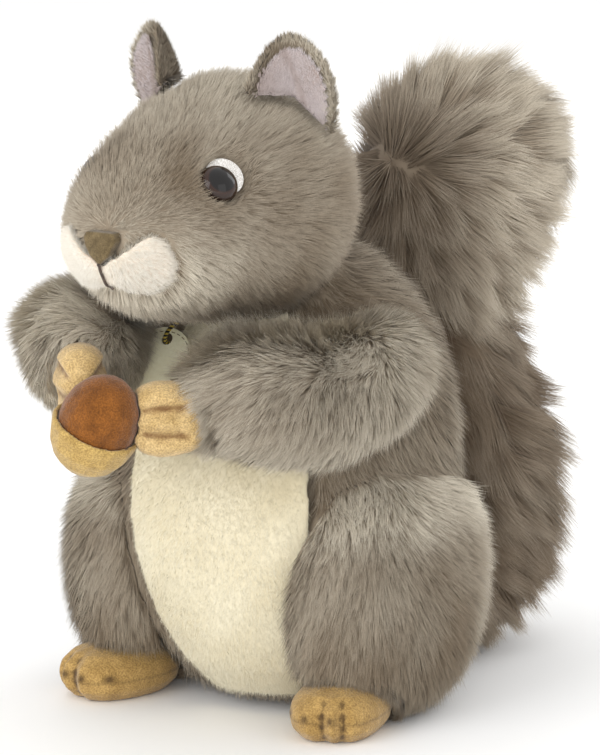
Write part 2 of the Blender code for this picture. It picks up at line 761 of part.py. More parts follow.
def build_foot(side):
    """A velour foot, flat below, with three stitched toe grooves down its front."""
    turn = Matrix.Rotation(math.radians(FOOT_SPLAY), 4, "Z")
    place = Matrix.Translation((thigh_x + 0.001, -FOOT_REACH, 0)) @ turn
    sides = 28
    grooves = [-math.pi / 2 + 2 * math.pi / sides * step for step in (-2, 0, 2)]

    def section(t):
        height = FOOT_HEIGHT * (1.16 * t - 0.16)
        wide, long = (size / 2 * blunt(t, 2.3) for size in (FOOT_WIDTH, FOOT_LENGTH))
        return Vector((0, 0, height)), Vector((wide, 0, 0)), Vector((0, long, 0)), 2.4

    def toed(point, t, angle):
        turned = (angle + math.pi / 2) % (2 * math.pi) - math.pi / 2
        groove = sum(math.exp(-(((turned - place_of) / 0.08) ** 2)) for place_of in grooves)
        depth = TOE_GROOVE * groove * math.sin(math.pi * min(t * 1.08, 1)) ** 0.5
        away = Vector((point.x, point.y, 0))
        return point - away.normalized() * depth if away.length > TOE_GROOVE else point

    mesh = lofted("foot", section, 8, sides, toed)
    mesh.transform(place)
    foot = add_object("foot_" + side, mirror_mesh(mesh, side), "tan_velour")
    cut_flat(foot)
    return foot


def build_thigh(side, foot, neighbours):
    """The big stuffed haunch, with the dart that gathers its front above the foot. It stops at the
    foot's inner side, so that no sliver of it is left between the foot and the belly."""
    centre = Vector((thigh_x, 0, THIGH_HEIGHT * 0.455))

    def section(t):
        wide, deep = THIGH_WIDTH / 2 * blunt(t, 2.15), THIGH_DEPTH / 2 * blunt(t, 2.15)
        place = centre + Vector((0, 0, THIGH_HEIGHT * (t - 0.5)))
        return place, Vector((wide, 0, 0)), Vector((0, deep, 0)), 2.1

    def darted(point, t, angle):
        away = Vector((point.x - centre.x, point.y - centre.y, 0))
        if away.length < 1e-4:
            return point
        turn = math.atan2(away.y / THIGH_DEPTH, away.x / THIGH_WIDTH)
        groove = math.exp(-(((turn + math.radians(62)) / 0.16) ** 2))
        fade = math.sin(math.pi * min(max((t - 0.08) / 0.55, 0), 1))
        return point - away.normalized() * DART_DEPTH * groove * fade

    mesh = lofted("thigh", section, 11, 16, darted)
    thigh = add_object("thigh_" + side, mirror_mesh(mesh, side), "grey_plush")
    cut_flat(thigh)
    beside_foot = grown_copy(foot, CLEARANCE)
    beside_foot.data.transform(Matrix.Translation((-SIDES[side] * FOOT_WIDTH * 0.4, 0, 0)))
    boolean(thigh, beside_foot, "DIFFERENCE")
    carve(thigh, foot, *neighbours)
    return thigh


# Tail

def build_tail(neighbours):
    """The bushy tail: up the back from the seat, in at the neck and out at the top, with parted locks."""
    back = BODY_BACK_SHIFT + BODY_DEPTH / 2
    tail_top = (NECK_HEIGHT + HEAD_HEIGHT) * 0.96
    backwards = (
        (0, 0.12), (0.17, 0.49), (0.33, 0.60), (0.48, 0.51), (0.62, 0.32), (0.72, 0.42), (0.80, 0.52),
        (0.88, 0.57), (1, 0.58))
    wide_keys = (
        (0, 1.07), (0.17, 1.06), (0.33, 0.95), (0.48, 0.77), (0.62, 0.69), (0.72, 0.90), (0.80, 1.02),
        (0.88, 1.07), (1, 1.06))
    deep_keys = (
        (0, 2.0), (0.17, 1.60), (0.33, 1.27), (0.48, 1.12), (0.62, 1.04), (0.72, 1.40), (0.80, 1.60),
        (0.88, 1.69), (1, 1.69))

    def section(t):
        height = (tail_top + TAIL_BELOW_SEAT) * t - TAIL_BELOW_SEAT
        centre = Vector((TAIL_SIDE_SHIFT, back + TAIL_DEPTH * graded(backwards, t), height))
        wide = TAIL_WIDTH / 2 * blunt(t, 2.6) * graded(wide_keys, t)
        deep = TAIL_DEPTH / 2 * blunt(t, 2.6) * graded(deep_keys, t)
        return centre, Vector((wide, 0, 0)), Vector((0, deep, 0)), 2.0

    def locked(point, t, angle):
        away = point - section(t)[0]
        if away.length < 1e-4:
            return point
        parting = math.sin(TAIL_LOCKS * angle + TAIL_SWAY * math.sin(2 * math.pi * t * TAIL_TIERS))
        depth = TAIL_LOCK * (0.5 - 0.5 * parting) * math.sin(math.pi * min(t * 1.2, 1)) ** 0.5
        return point - away.normalized() * depth

    tail = add_object("tail", lofted("tail", section, 19, 28, locked), "tail_plush")
    cut_flat(tail)
    carve(tail, *neighbours)
    return tail


# Hang tag

def build_tag():
    """A bare card with a round top, hung on a cord loop that is sewn in at the neck."""
    top_height = NECK_HEIGHT - TAG_BELOW_NECK
    front = body_front(-TAG_SIDE_SHIFT, top_height) - TAG_PROUD
    tilt, turn = math.radians(-TAG_TILT), math.radians(TAG_TURN)
    lean = Matrix.Rotation(tilt, 4, "X") @ Matrix.Rotation(turn, 4, "Z")
    place = Matrix.Translation((-TAG_SIDE_SHIFT, front, top_height)) @ lean

    half, radius = TAG_WIDTH / 2, TAG_WIDTH / 2
    outline = [Vector((-half, 0, -TAG_HEIGHT)), Vector((half, 0, -TAG_HEIGHT))]
    for step in range(13):
        angle = math.pi * step / 12
        outline.append(Vector((radius * math.cos(angle), 0, radius * (math.sin(angle) * 0.85 - 0.85))))
    form = bmesh.new()
    face = form.faces.new([form.verts.new(point) for point in outline])
    moved = bmesh.ops.extrude_face_region(form, geom=[face])["geom"]
    bmesh.ops.translate(
        form, vec=(0, TAG_THICKNESS, 0), verts=[v for v in moved if isinstance(v, bmesh.types.BMVert)]
    )
    tag_mesh = mesh_of(form, "tag")
    tag_mesh.transform(place)
    tag = add_object("hang_tag", tag_mesh, "tag_card")
    hole_place = Vector((0, 0, -TAG_HOLE * 0.95))
    hole_mesh = disc("hole", TAG_HOLE / 2, TAG_THICKNESS * 10, 12)
    hole_mesh.transform(
        place @ Matrix.Translation(hole_place) @ Matrix.Rotation(math.pi / 2, 4, "X")
        @ Matrix.Translation((0, 0, -TAG_THICKNESS * 5)))
    boolean(tag, hidden_object("hole_cutter", hole_mesh), "DIFFERENCE")

    through = place @ (hole_place + Vector((0, TAG_THICKNESS / 2, 0)))
    sewn = through + Vector((LOOP_DROP * 0.33, LOOP_DROP * 0.71, LOOP_DROP * 0.35))
    middle, reach = (through + sewn) / 2, (sewn - through) / 2
    sideways = Vector((1, 0, 0)).cross(reach).normalized() * TAG_HOLE * 0.85
    curve = bpy.data.curves.new("loop", "CURVE")
    curve.dimensions = "3D"
    curve.bevel_depth = LOOP_THICKNESS / 2
    curve.bevel_resolution = 1
    spline = curve.splines.new("POLY")
    turns = 14
    spline.points.add(turns - 1)
    for step, point in enumerate(spline.points):
        angle = 2 * math.pi * step / turns
        point.co = (*(middle + reach * 1.15 * math.cos(angle) + sideways * math.sin(angle)), 1)
    spline.use_cyclic_u = True
    guide = bpy.data.objects.new("loop_guide", curve)
    cutters.objects.link(guide)
    bpy.context.view_layer.update()
    graph = bpy.context.evaluated_depsgraph_get()
    loop = add_object("tag_loop", bpy.data.meshes.new_from_object(guide.evaluated_get(graph)), "gold_cord")
    bpy.data.objects.remove(guide, do_unlink=True)
    return tag, loop


clear_scene()
parts = make_collection("plush_squirrel")
cutters = make_collection("cutters")
seat = bpy.data.objects.new("seat", None)
parts.objects.link(seat)
materials = {name: make_material(name) for name in FINISHES}

head, face, ears = build_head()
body = build_body()
panel = build_belly_panel()
tag, loop = build_tag()
carve(panel, head)
carve(body, head, panel, loop)
for sewn_into in (panel, head):
    carve(sewn_into, loop)
acorn = build_acorn()
for side in SIDES:
    hand = build_hand(side, acorn)
    build_arm(side, hand, [*acorn, head, body, panel, tag, loop])
    foot = build_foot(side)
    build_thigh(side, foot, [body, panel, bpy.data.objects["arm_" + side]])
    carve(foot, body, panel)
build_tail([body, head, *(bpy.data.objects["thigh_" + side] for side in SIDES)])
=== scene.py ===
import math

import bmesh
import bpy
import numpy as np
from mathutils import Matrix, Vector
from mathutils.bvhtree import BVHTree
from mathutils.kdtree import KDTree


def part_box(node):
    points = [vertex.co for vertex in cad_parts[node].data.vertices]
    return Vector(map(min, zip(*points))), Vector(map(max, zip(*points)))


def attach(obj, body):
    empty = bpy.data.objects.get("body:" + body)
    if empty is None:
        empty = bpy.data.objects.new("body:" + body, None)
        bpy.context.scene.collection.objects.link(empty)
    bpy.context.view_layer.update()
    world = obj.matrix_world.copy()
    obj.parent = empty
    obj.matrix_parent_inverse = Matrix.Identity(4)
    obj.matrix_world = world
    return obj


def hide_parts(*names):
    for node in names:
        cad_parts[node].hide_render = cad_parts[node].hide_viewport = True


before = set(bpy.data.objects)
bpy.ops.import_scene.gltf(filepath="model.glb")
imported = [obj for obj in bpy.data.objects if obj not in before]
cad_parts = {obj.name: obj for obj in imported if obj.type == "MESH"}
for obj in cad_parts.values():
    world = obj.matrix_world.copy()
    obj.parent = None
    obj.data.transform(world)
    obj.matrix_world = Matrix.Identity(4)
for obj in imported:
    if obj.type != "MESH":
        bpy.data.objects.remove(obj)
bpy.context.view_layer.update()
chance = np.random.default_rng(11)
print("squirrel: frame loaded")


# selection and modifiers

def onlySelect(piece):
    bpy.ops.object.select_all(action="DESELECT")
    piece.select_set(True)
    bpy.context.view_layer.objects.active = piece


def applied(piece, kind, **values):
    onlySelect(piece)
    step = piece.modifiers.new(kind.lower(), kind)
    for key, value in values.items():
        setattr(step, key, value)
    bpy.ops.object.modifier_apply(modifier=step.name)


def copyOfNode(node, name):
    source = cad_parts[node]
    piece = bpy.data.objects.new(name, source.data.copy())
    bpy.context.scene.collection.objects.link(piece)
    piece.data.materials.clear()
    onlySelect(piece)
    bpy.ops.object.mode_set(mode="EDIT")
    bpy.ops.mesh.select_all(action="SELECT")
    bpy.ops.mesh.remove_doubles(threshold=0.00001)
    bpy.ops.object.mode_set(mode="OBJECT")
    return piece


def remeshed(piece, size, rounds, strength=0.5):
    applied(piece, "REMESH", mode="VOXEL", voxel_size=size, adaptivity=0)
    if rounds:
        applied(piece, "SMOOTH", factor=strength, iterations=rounds)


def points(piece):
    found = np.empty(len(piece.data.vertices) * 3)
    piece.data.vertices.foreach_get("co", found)
    return found.reshape(-1, 3)


def setPoints(piece, places):
    piece.data.vertices.foreach_set("co", np.ascontiguousarray(places, dtype=np.float32).ravel())
    piece.data.update()


def vertexNormals(piece):
    found = np.empty(len(piece.data.vertices) * 3)
    piece.data.vertices.foreach_get("normal", found)
    return found.reshape(-1, 3)


def triangles(piece):
    piece.data.calc_loop_triangles()
    found = np.empty(len(piece.data.loop_triangles) * 3, dtype=np.int32)
    piece.data.loop_triangles.foreach_get("vertices", found)
    return found.reshape(-1, 3)


def unit(vectors):
    return vectors / np.maximum(np.linalg.norm(vectors, axis=-1, keepdims=True), 1e-9)


def blendStep(values, low, high):
    t = np.clip((values - low) / (high - low), 0, 1)
    return t * t * (3 - 2 * t)


def ridesAs(piece, slot, *nodes):
    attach(piece, "root")
    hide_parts(*nodes)


# finishes

def newMaterial(name, roughness, sheen=0.0, coat=0.0):
    made = bpy.data.materials.new(name)
    made.use_nodes = True
    shader = made.node_tree.nodes["Principled BSDF"]
    shader.inputs["Roughness"].default_value = roughness
    shader.inputs["Sheen Weight"].default_value = sheen
    shader.inputs["Sheen Roughness"].default_value = 0.45
    shader.inputs["Coat Weight"].default_value = coat
    shader.inputs["Specular IOR Level"].default_value = 0.25 if sheen else 0.5
    return made, made.node_tree.nodes, made.node_tree.links, shader


def ramp(nodes, stops, factor, links):
    made = nodes.new("ShaderNodeValToRGB")
    made.color_ramp.elements[0].position, made.color_ramp.elements[0].color = stops[0][0], (*stops[0][1], 1)
    made.color_ramp.elements[1].position, made.color_ramp.elements[1].color = stops[-1][0], (*stops[-1][1], 1)
    for place, colour in stops[1:-1]:
        made.color_ramp.elements.new(place).color = (*colour, 1)
    links.new(factor, made.inputs["Fac"])
    return made.outputs["Color"]


def mixed(nodes, links, factor, low, high, mode="MIX"):
    made = nodes.new("ShaderNodeMix")
    made.data_type = "RGBA"
    made.blend_type = mode
    if hasattr(factor, "links"):
        links.new(factor, made.inputs["Factor"])
    else:
        made.inputs["Factor"].default_value = factor
    for socket, value in ((made.inputs["A"], low), (made.inputs["B"], high)):
        socket = [s for s in made.inputs if s.name == socket.name and s.type == "RGBA"][0]
        if hasattr(value, "links"):
            links.new(value, socket)
        else:
            socket.default_value = (*value, 1)
    return [s for s in made.outputs if s.type == "RGBA"][0]


def noiseOn(nodes, links, scale, detail=3.0, stretch=(1, 1, 1)):
    place = nodes.new("ShaderNodeTexCoord")
    moved = nodes.new("ShaderNodeMapping")
    moved.inputs["Scale"].default_value = stretch
    made = nodes.new("ShaderNodeTexNoise")
    made.inputs["Scale"].default_value = scale
    made.inputs["Detail"].default_value = detail
    links.new(place.outputs["Object"], moved.inputs["Vector"])
    links.new(moved.outputs["Vector"], made.inputs["Vector"])
    return made.outputs["Fac"]


def bumped(nodes, links, shader, height, distance, strength=0.6):
    made = nodes.new("ShaderNodeBump")
    made.inputs["Distance"].default_value = distance
    made.inputs["Strength"].default_value = strength
    links.new(height, made.inputs["Height"])
    links.new(made.outputs["Normal"], shader.inputs["Normal"])


# u of the map is a strand's tone, v runs from its root to its tip
def pileMaterial(name, darkStops, paleStops):
    made, nodes, links, shader = newMaterial(name, 0.78, sheen=0.12)
    uv = nodes.new("ShaderNodeUVMap")
    uv.uv_map = "OFBake"
    split = nodes.new("ShaderNodeSeparateXYZ")
    links.new(uv.outputs["UV"], split.inputs["Vector"])
    dark = ramp(nodes, darkStops, split.outputs["Y"], links)
    pale = ramp(nodes, paleStops, split.outputs["Y"], links)
    colour = mixed(nodes, links, split.outputs["X"], dark, pale)
    links.new(colour, shader.inputs["Base Color"])
    return made


def clothMaterial(name, low, high, scale, depth, roughness=0.85, sheen=0.25, shadeColour=None):
    made, nodes, links, shader = newMaterial(name, roughness, sheen=sheen)
    coarse = noiseOn(nodes, links, scale * 0.12, 4.0)
    fine = noiseOn(nodes, links, scale, 2.0)
    base = ramp(nodes, ((0.3, low), (0.7, high)), coarse, links)
    speckle = ramp(nodes, ((0.36, (0.70, 0.67, 0.64)), (0.64, (1.18, 1.18, 1.18))), fine, links)
    colour = mixed(nodes, links, 1.0, base, speckle, "MULTIPLY")
    # the shade attribute is painted shade in grooves and hollows, with the feet's real stitch and toe marks; it
    # blends the colour towards shadeColour
    if shadeColour:
        shade = nodes.new("ShaderNodeAttribute")
        shade.attribute_name = "shade"
        colour = mixed(nodes, links, shade.outputs["Fac"], colour, shadeColour)
    links.new(colour, shader.inputs["Base Color"])
    bumped(nodes, links, shader, fine, depth)
    return made


greyPile = pileMaterial(
    "frostedGreyPile",
    ((0.0, (0.052, 0.035, 0.021)), (0.5, (0.145, 0.103, 0.064)), (1.0, (0.285, 0.222, 0.152))),
    ((0.0, (0.16, 0.127, 0.090)), (0.45, (0.43, 0.366, 0.278)), (1.0, (0.84, 0.78, 0.65))),
)
tailPile = pileMaterial(
    "longTailPile",
    ((0.0, (0.040, 0.025, 0.015)), (0.5, (0.115, 0.077, 0.048)), (1.0, (0.25, 0.188, 0.128))),
    ((0.0, (0.13, 0.098, 0.068)), (0.5, (0.38, 0.313, 0.232)), (1.0, (0.78, 0.71, 0.585))),
)
creamPile = pileMaterial(
    "shortCreamPile",
    ((0.0, (0.52, 0.44, 0.27)), (1.0, (0.66, 0.59, 0.42))),
    ((0.0, (0.72, 0.65, 0.48)), (1.0, (0.86, 0.82, 0.67))),
)
whitePile = pileMaterial(
    "shortWhitePile",
    ((0.0, (0.56, 0.43, 0.32)), (1.0, (0.78, 0.66, 0.54))),
    ((0.0, (0.72, 0.68, 0.58)), (1.0, (0.90, 0.88, 0.80))),
)
liningPile = pileMaterial(
    "shortLilacPile",
    ((0.0, (0.20, 0.14, 0.11)), (1.0, (0.42, 0.32, 0.28))),
    ((0.0, (0.48, 0.43, 0.44)), (1.0, (0.78, 0.73, 0.745))),
)
velourGrain, velourRelief = 1900, 0.0005
tanVelour = clothMaterial(
    "tanVelour", (0.46, 0.315, 0.130), (0.60, 0.435, 0.210), velourGrain, velourRelief,
    shadeColour=(0.15, 0.07, 0.025))
cupVelour = clothMaterial(
    "cupVelour", (0.36, 0.235, 0.072), (0.49, 0.335, 0.113), velourGrain, velourRelief,
    shadeColour=(0.13, 0.06, 0.022))
footVelour = clothMaterial(
    "footVelour", (0.33, 0.205, 0.065), (0.47, 0.305, 0.108), velourGrain, velourRelief,
    shadeColour=(0.045, 0.022, 0.010))
rustVelour = clothMaterial(
    "rustVelour", (0.14, 0.047, 0.006), (0.235, 0.082, 0.012), velourGrain, velourRelief,
    shadeColour=(0.07, 0.025, 0.010))
noseSuede = clothMaterial(
    "noseSuede", (0.09, 0.063, 0.028), (0.17, 0.125, 0.062), 3200, 0.0003, shadeColour=(0.03, 0.02, 0.012))
whiteFelt = clothMaterial("whiteFelt", (0.80, 0.79, 0.77), (0.92, 0.91, 0.89), 3000, 0.0003)
seamThread = clothMaterial("seamThread", (0.05, 0.035, 0.028), (0.10, 0.07, 0.055), 4000, 0.0001)


# the hide: the grey pieces as one soft form, which gives the pile its depth and its lie

hideLook = {"grow": 0.0006, "voxel": 0.0022, "smooth": 5}


def makeHide(nodes):
    copies = [copyOfNode(node, "hide_" + node) for node in nodes]
    for copy in copies:
        applied(copy, "DISPLACE", strength=hideLook["grow"], mid_level=0)
    bpy.ops.object.select_all(action="DESELECT")
    for copy in copies:
        copy.select_set(True)
    bpy.context.view_layer.objects.active = copies[0]
    bpy.ops.object.join()
    hide = bpy.context.view_layer.objects.active
    remeshed(hide, hideLook["voxel"], hideLook["smooth"])
    return hide


greyNodes = ["body", "head", "arm_left", "arm_right", "thigh_left", "thigh_right"]
hide = makeHide(greyNodes)
hidePlaces, hideNormals, hideFaces = points(hide), vertexNormals(hide), triangles(hide)
hideTree = BVHTree.FromPolygons(hidePlaces.tolist(), hideFaces.tolist())
bpy.data.objects.remove(hide, do_unlink=True)
print("squirrel: hide")


def onHide(places):
    distances, normals = np.empty(len(places)), np.empty((len(places), 3))
    for i, place in enumerate(places):
        near, _, face, distances[i] = hideTree.find_nearest(place)
        normals[i] = hideNormals[hideFaces[face]].mean(axis=0)
    return distances, unit(normals)


# eyes: where each dome sits, worked out from its own solid

def eyeFrame(side):
    mesh = points(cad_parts["eye_" + side])
    mesh = np.unique(np.round(mesh, 6), axis=0)
    middle = mesh.mean(axis=0)
    values, vectors = np.linalg.eigh(np.cov((mesh - middle).T))
    apart = [abs(values[1] - values[2]), abs(values[0] - values[2]), abs(values[0] - values[1])]
    axis = vectors[:, int(np.argmin(apart))]
    axis *= np.sign(axis[0]) * (1 if side == "left" else -1)
    radial = mesh - middle - np.outer((mesh - middle) @ axis, axis)
    reach = np.linalg.norm(radial, axis=1)
    rim = mesh[reach > reach.max() * 0.97]
    base = middle + axis * ((rim - middle) @ axis).mean()
    felt = np.unique(np.round(points(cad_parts["eye_white_" + side]), 6), axis=0)
    feltMiddle = (felt.min(axis=0) + felt.max(axis=0)) / 2
    return {"base": base, "axis": axis, "radius": reach.max(), "felt": feltMiddle}


eyes = {side: eyeFrame(side) for side in ("left", "right")}
noseLow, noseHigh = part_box("nose")
noseTip = np.array([0, noseLow.y, (noseLow.z + noseHigh.z) / 2])


# skins and strands

def skinOf(node, name, voxel, rounds, depth, fused=True):
    piece = copyOfNode(node, name)
    remeshed(piece, voxel, rounds)
    places = points(piece)
    if fused:
        distances, normals = onHide(places)
        exposed = 1 - blendStep(distances, 0.0009, 0.0030)
        depths = np.clip(depth(places, normals) - distances, 0, None)
    else:
        normals = vertexNormals(piece)
        exposed = np.ones(len(places))
        depths = depth(places, normals)
    places = places - normals * depths[:, None]
    places[:, 2] = np.maximum(places[:, 2], np.where(points(piece)[:, 2] < 0.001, 0.0002, 0.0004))
    setPoints(piece, places)
    return piece, normals, exposed


def evenDepth(look):
    return lambda places, normals: np.full(len(places), look["depth"])


def rootsOn(piece, normals, weight, count):
    places, faces = points(piece), triangles(piece)
    corners = places[faces]
    area = np.linalg.norm(np.cross(corners[:, 1] - corners[:, 0], corners[:, 2] - corners[:, 0]), axis=1)
    share = area * weight[faces].mean(axis=1)
    chosen = chance.choice(len(faces), size=count, p=share / share.sum())
    a, b = chance.random(count), chance.random(count)
    flip = a + b > 1
    a[flip], b[flip] = 1 - a[flip], 1 - b[flip]
    mix = np.stack([1 - a - b, a, b], axis=1)[:, :, None]
    return (corners[chosen] * mix).sum(axis=1), unit((normals[faces[chosen]] * mix).sum(axis=1))


def clumped(roots, count):
    seeds = chance.choice(len(roots), size=count, replace=False)
    tree = KDTree(count)
    for i, seed in enumerate(seeds):
        tree.insert(roots[seed], i)
    tree.balance()
    near = np.array([tree.find(root)[1] for root in roots])
    return seeds[near], near


def waves(places, size, turn):
    p = places / size
    a = np.sin(p[:, 0] * 1.7 + turn) * np.cos(p[:, 1] * 1.3 - turn * 2)
    a = a + np.sin(p[:, 2] * 1.9 + p[:, 0] * 0.8 + turn)
    b = np.sin(p[:, 0] * 3.1 - p[:, 2] * 2.3 + turn * 3) * np.sin(p[:, 1] * 2.9 + turn)
    return np.clip((a * 0.45 + b * 0.55), -1, 1)


# each strand is one long triangle that leans along the comb, and the skin under it is in the same mesh
def strandMesh(piece, look, roots, normals, comb, tone, length, material):
    count = len(roots)
    comb = unit(comb)
    comb = comb - normals * (comb * normals).sum(axis=1)[:, None]
    lying = np.clip(np.linalg.norm(comb, axis=1) / 0.55, 0.25, 1)
    comb = unit(comb)
    side = np.cross(normals, comb)
    wander = waves(roots, look["wander"], 0.7)[:, None] * look["wanderTurn"]
    comb = unit(comb + side * wander)
    clump, clumpId = clumped(roots, max(8, int(count / look["perClump"])))
    clumpTurn = chance.normal(0, look["clumpTurn"], clumpId.max() + 1)[clumpId][:, None]
    clumpLong = 1 + chance.normal(0, look["clumpLong"], clumpId.max() + 1)[clumpId]
    loose = (look["loose"] + 2.4 * (1 - lying) ** 2)[:, None]
    comb = comb + np.cross(normals, comb) * clumpTurn + chance.normal(0, 1, (count, 3)) * loose
    comb = unit(comb - normals * (comb * normals).sum(axis=1)[:, None] * blendStep(loose, 0.3, 0.6))
    long = length * clumpLong * (1 + chance.normal(0, look["uneven"], count))
    long = np.clip(long, length * 0.4, length * 1.35)
    lean = np.radians(look["lean"]) * (0.45 + 0.55 * lying) * (1 + chance.normal(0, 0.10, count))
    foot = roots - normals * look["sink"]
    tip = foot + (normals * np.cos(lean)[:, None] + comb * np.sin(lean)[:, None]) * long[:, None]
    tip = tip + (tip[clump] - tip) * look["clump"]
    ways = unit(tip - foot)
    across = unit(np.cross(normals, ways) + 1e-6)
    roll = chance.uniform(-1, 1, count)[:, None] * np.radians(look["roll"])
    across = across * np.cos(roll) + unit(np.cross(ways, across)) * np.sin(roll)
    wide = look["width"] * (0.8 + 0.4 * chance.random(count))[:, None] / 2
    places = np.stack([foot - across * wide, foot + across * wide, tip], axis=1)
    places[:, :, 2] = np.maximum(places[:, :, 2], look["clear"])
    facing = unit(np.cross(across, ways))
    facing *= np.where((facing * normals).sum(axis=1) < 0, -1, 1)[:, None]
    shading = unit(normals * look["soft"] + facing * (1 - look["soft"]))
    outward = (np.cross(across, ways) * normals).sum(axis=1) > 0
    loops = np.where(outward[:, None], (0, 1, 2), (2, 1, 0)) + (np.arange(count) * 3)[:, None]
    standing = 1 - blendStep(lying, 0.25, 1.0)
    # painted light: strands that stand up get a paler tone and paler roots, lifting the shade that falls into
    # their roots
    tone = np.clip(tone + 0.16 * standing + chance.normal(0, look["mottle"], count), 0.02, 0.97)
    low = look["rootPale"] + 0.40 * standing
    rise = low[:, None] + (0.99 - low)[:, None] * np.array((0.0, 0.0, 1.0))
    uSide = np.array((-1, 1, 0)) * 0.006
    uvs = np.stack([np.repeat(tone, 3) + np.tile(uSide, count), rise.ravel()], axis=1)

    skinPlaces, skinFaces = points(piece), triangles(piece)
    skinNormals = vertexNormals(piece)
    skinTone = np.clip(0.35 + 0.25 * waves(skinPlaces, 0.01, 0.2), 0.02, 0.95)
    base = len(skinPlaces)
    allPlaces = np.concatenate([skinPlaces, places.reshape(-1, 3)])
    allFaces = np.concatenate([skinFaces, loops + base])
    skinUvs = np.stack([skinTone, look["rootPale"] + 0.16 + 0.02 * chance.random(base)], axis=1)
    allUvs = np.concatenate([skinUvs, uvs])
    allNormals = np.concatenate([skinNormals, np.repeat(shading, 3, axis=0)])
    mesh = bpy.data.meshes.new(piece.name)
    mesh.vertices.add(len(allPlaces))
    mesh.vertices.foreach_set("co", allPlaces.astype(np.float32).ravel())
    mesh.loops.add(allFaces.size)
    mesh.loops.foreach_set("vertex_index", allFaces.astype(np.int32).ravel())
    mesh.polygons.add(len(allFaces))
    mesh.polygons.foreach_set("loop_start", np.arange(0, allFaces.size, 3, dtype=np.int32))
    mesh.update(calc_edges=True)
    uvLayer = mesh.uv_layers.new(name="OFBake")
    uvLayer.data.foreach_set("uv", allUvs[allFaces.ravel()].astype(np.float32).ravel())
    mesh.polygons.foreach_set("use_smooth", np.ones(len(allFaces), dtype=bool))
    mesh.normals_split_custom_set_from_vertices(allNormals.astype(np.float32).tolist())
    mesh.materials.append(material)
    piece.data = mesh
    print("squirrel:", piece.name, len(allFaces), "triangles")


furLook = {
    "lean": 59, "width": 0.00023, "soft": 0.88, "roll": 60, "perClump": 22, "clump": 0.20, "clumpTurn": 0.13,
    "clumpLong": 0.05, "uneven": 0.18, "loose": 0.10, "mottle": 0.06, "wander": 0.020, "wanderTurn": 0.25,
    "rootPale": 0.26, "sink": 0.0004, "clear": 0.0003,
}


def nearEyes(places):
    best, out = np.full(len(places), 9.0), np.zeros((len(places), 3))
    for eye in eyes.values():
        middle = eye["base"] * 0.6 + eye["felt"] * 0.4
        offset = places - middle
        flat = offset - np.outer(offset @ eye["axis"], eye["axis"])
        reach = np.linalg.norm(flat, axis=1) + np.where(np.linalg.norm(offset, axis=1) > 0.02, 9, 0)
        nearer = reach < best
        best[nearer] = reach[nearer]
        out[nearer] = unit(flat[nearer])
    return best, out


headLow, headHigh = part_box("head")


def treeOf(*nodes):
    places = np.concatenate([points(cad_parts[node]) for node in nodes])
    faces, start = [], 0
    for node in nodes:
        found = triangles(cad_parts[node])
        faces.append(found + start)
        start += len(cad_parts[node].data.vertices)
    return BVHTree.FromPolygons(places.tolist(), np.concatenate(faces).tolist())


def distancesTo(tree, places, limit=0.05):
    return np.array([(tree.find_nearest(place, limit)[3] or limit) for place in places])


faceTree = treeOf("nose", "muzzle")
pawTree = treeOf("hand_left", "hand_right", "foot_left", "foot_right", "acorn_nut", "acorn_cup")
panelTree = treeOf("belly_panel")
tagTree = treeOf("hang_tag", "tag_loop")
earTree = treeOf("ear_lining_left", "ear_lining_right")


# head

headLook = dict(
    furLook, count=142000, pile=0.0074, depth=0.0040, voxel=0.0026, rootPale=0.34, clump=0.14, mottle=0.05)


def headDepth(places, normals):
    face = blendStep(places[:, 1], -0.088, -0.035)
    return headLook["depth"] * (0.45 + 0.55 * face)


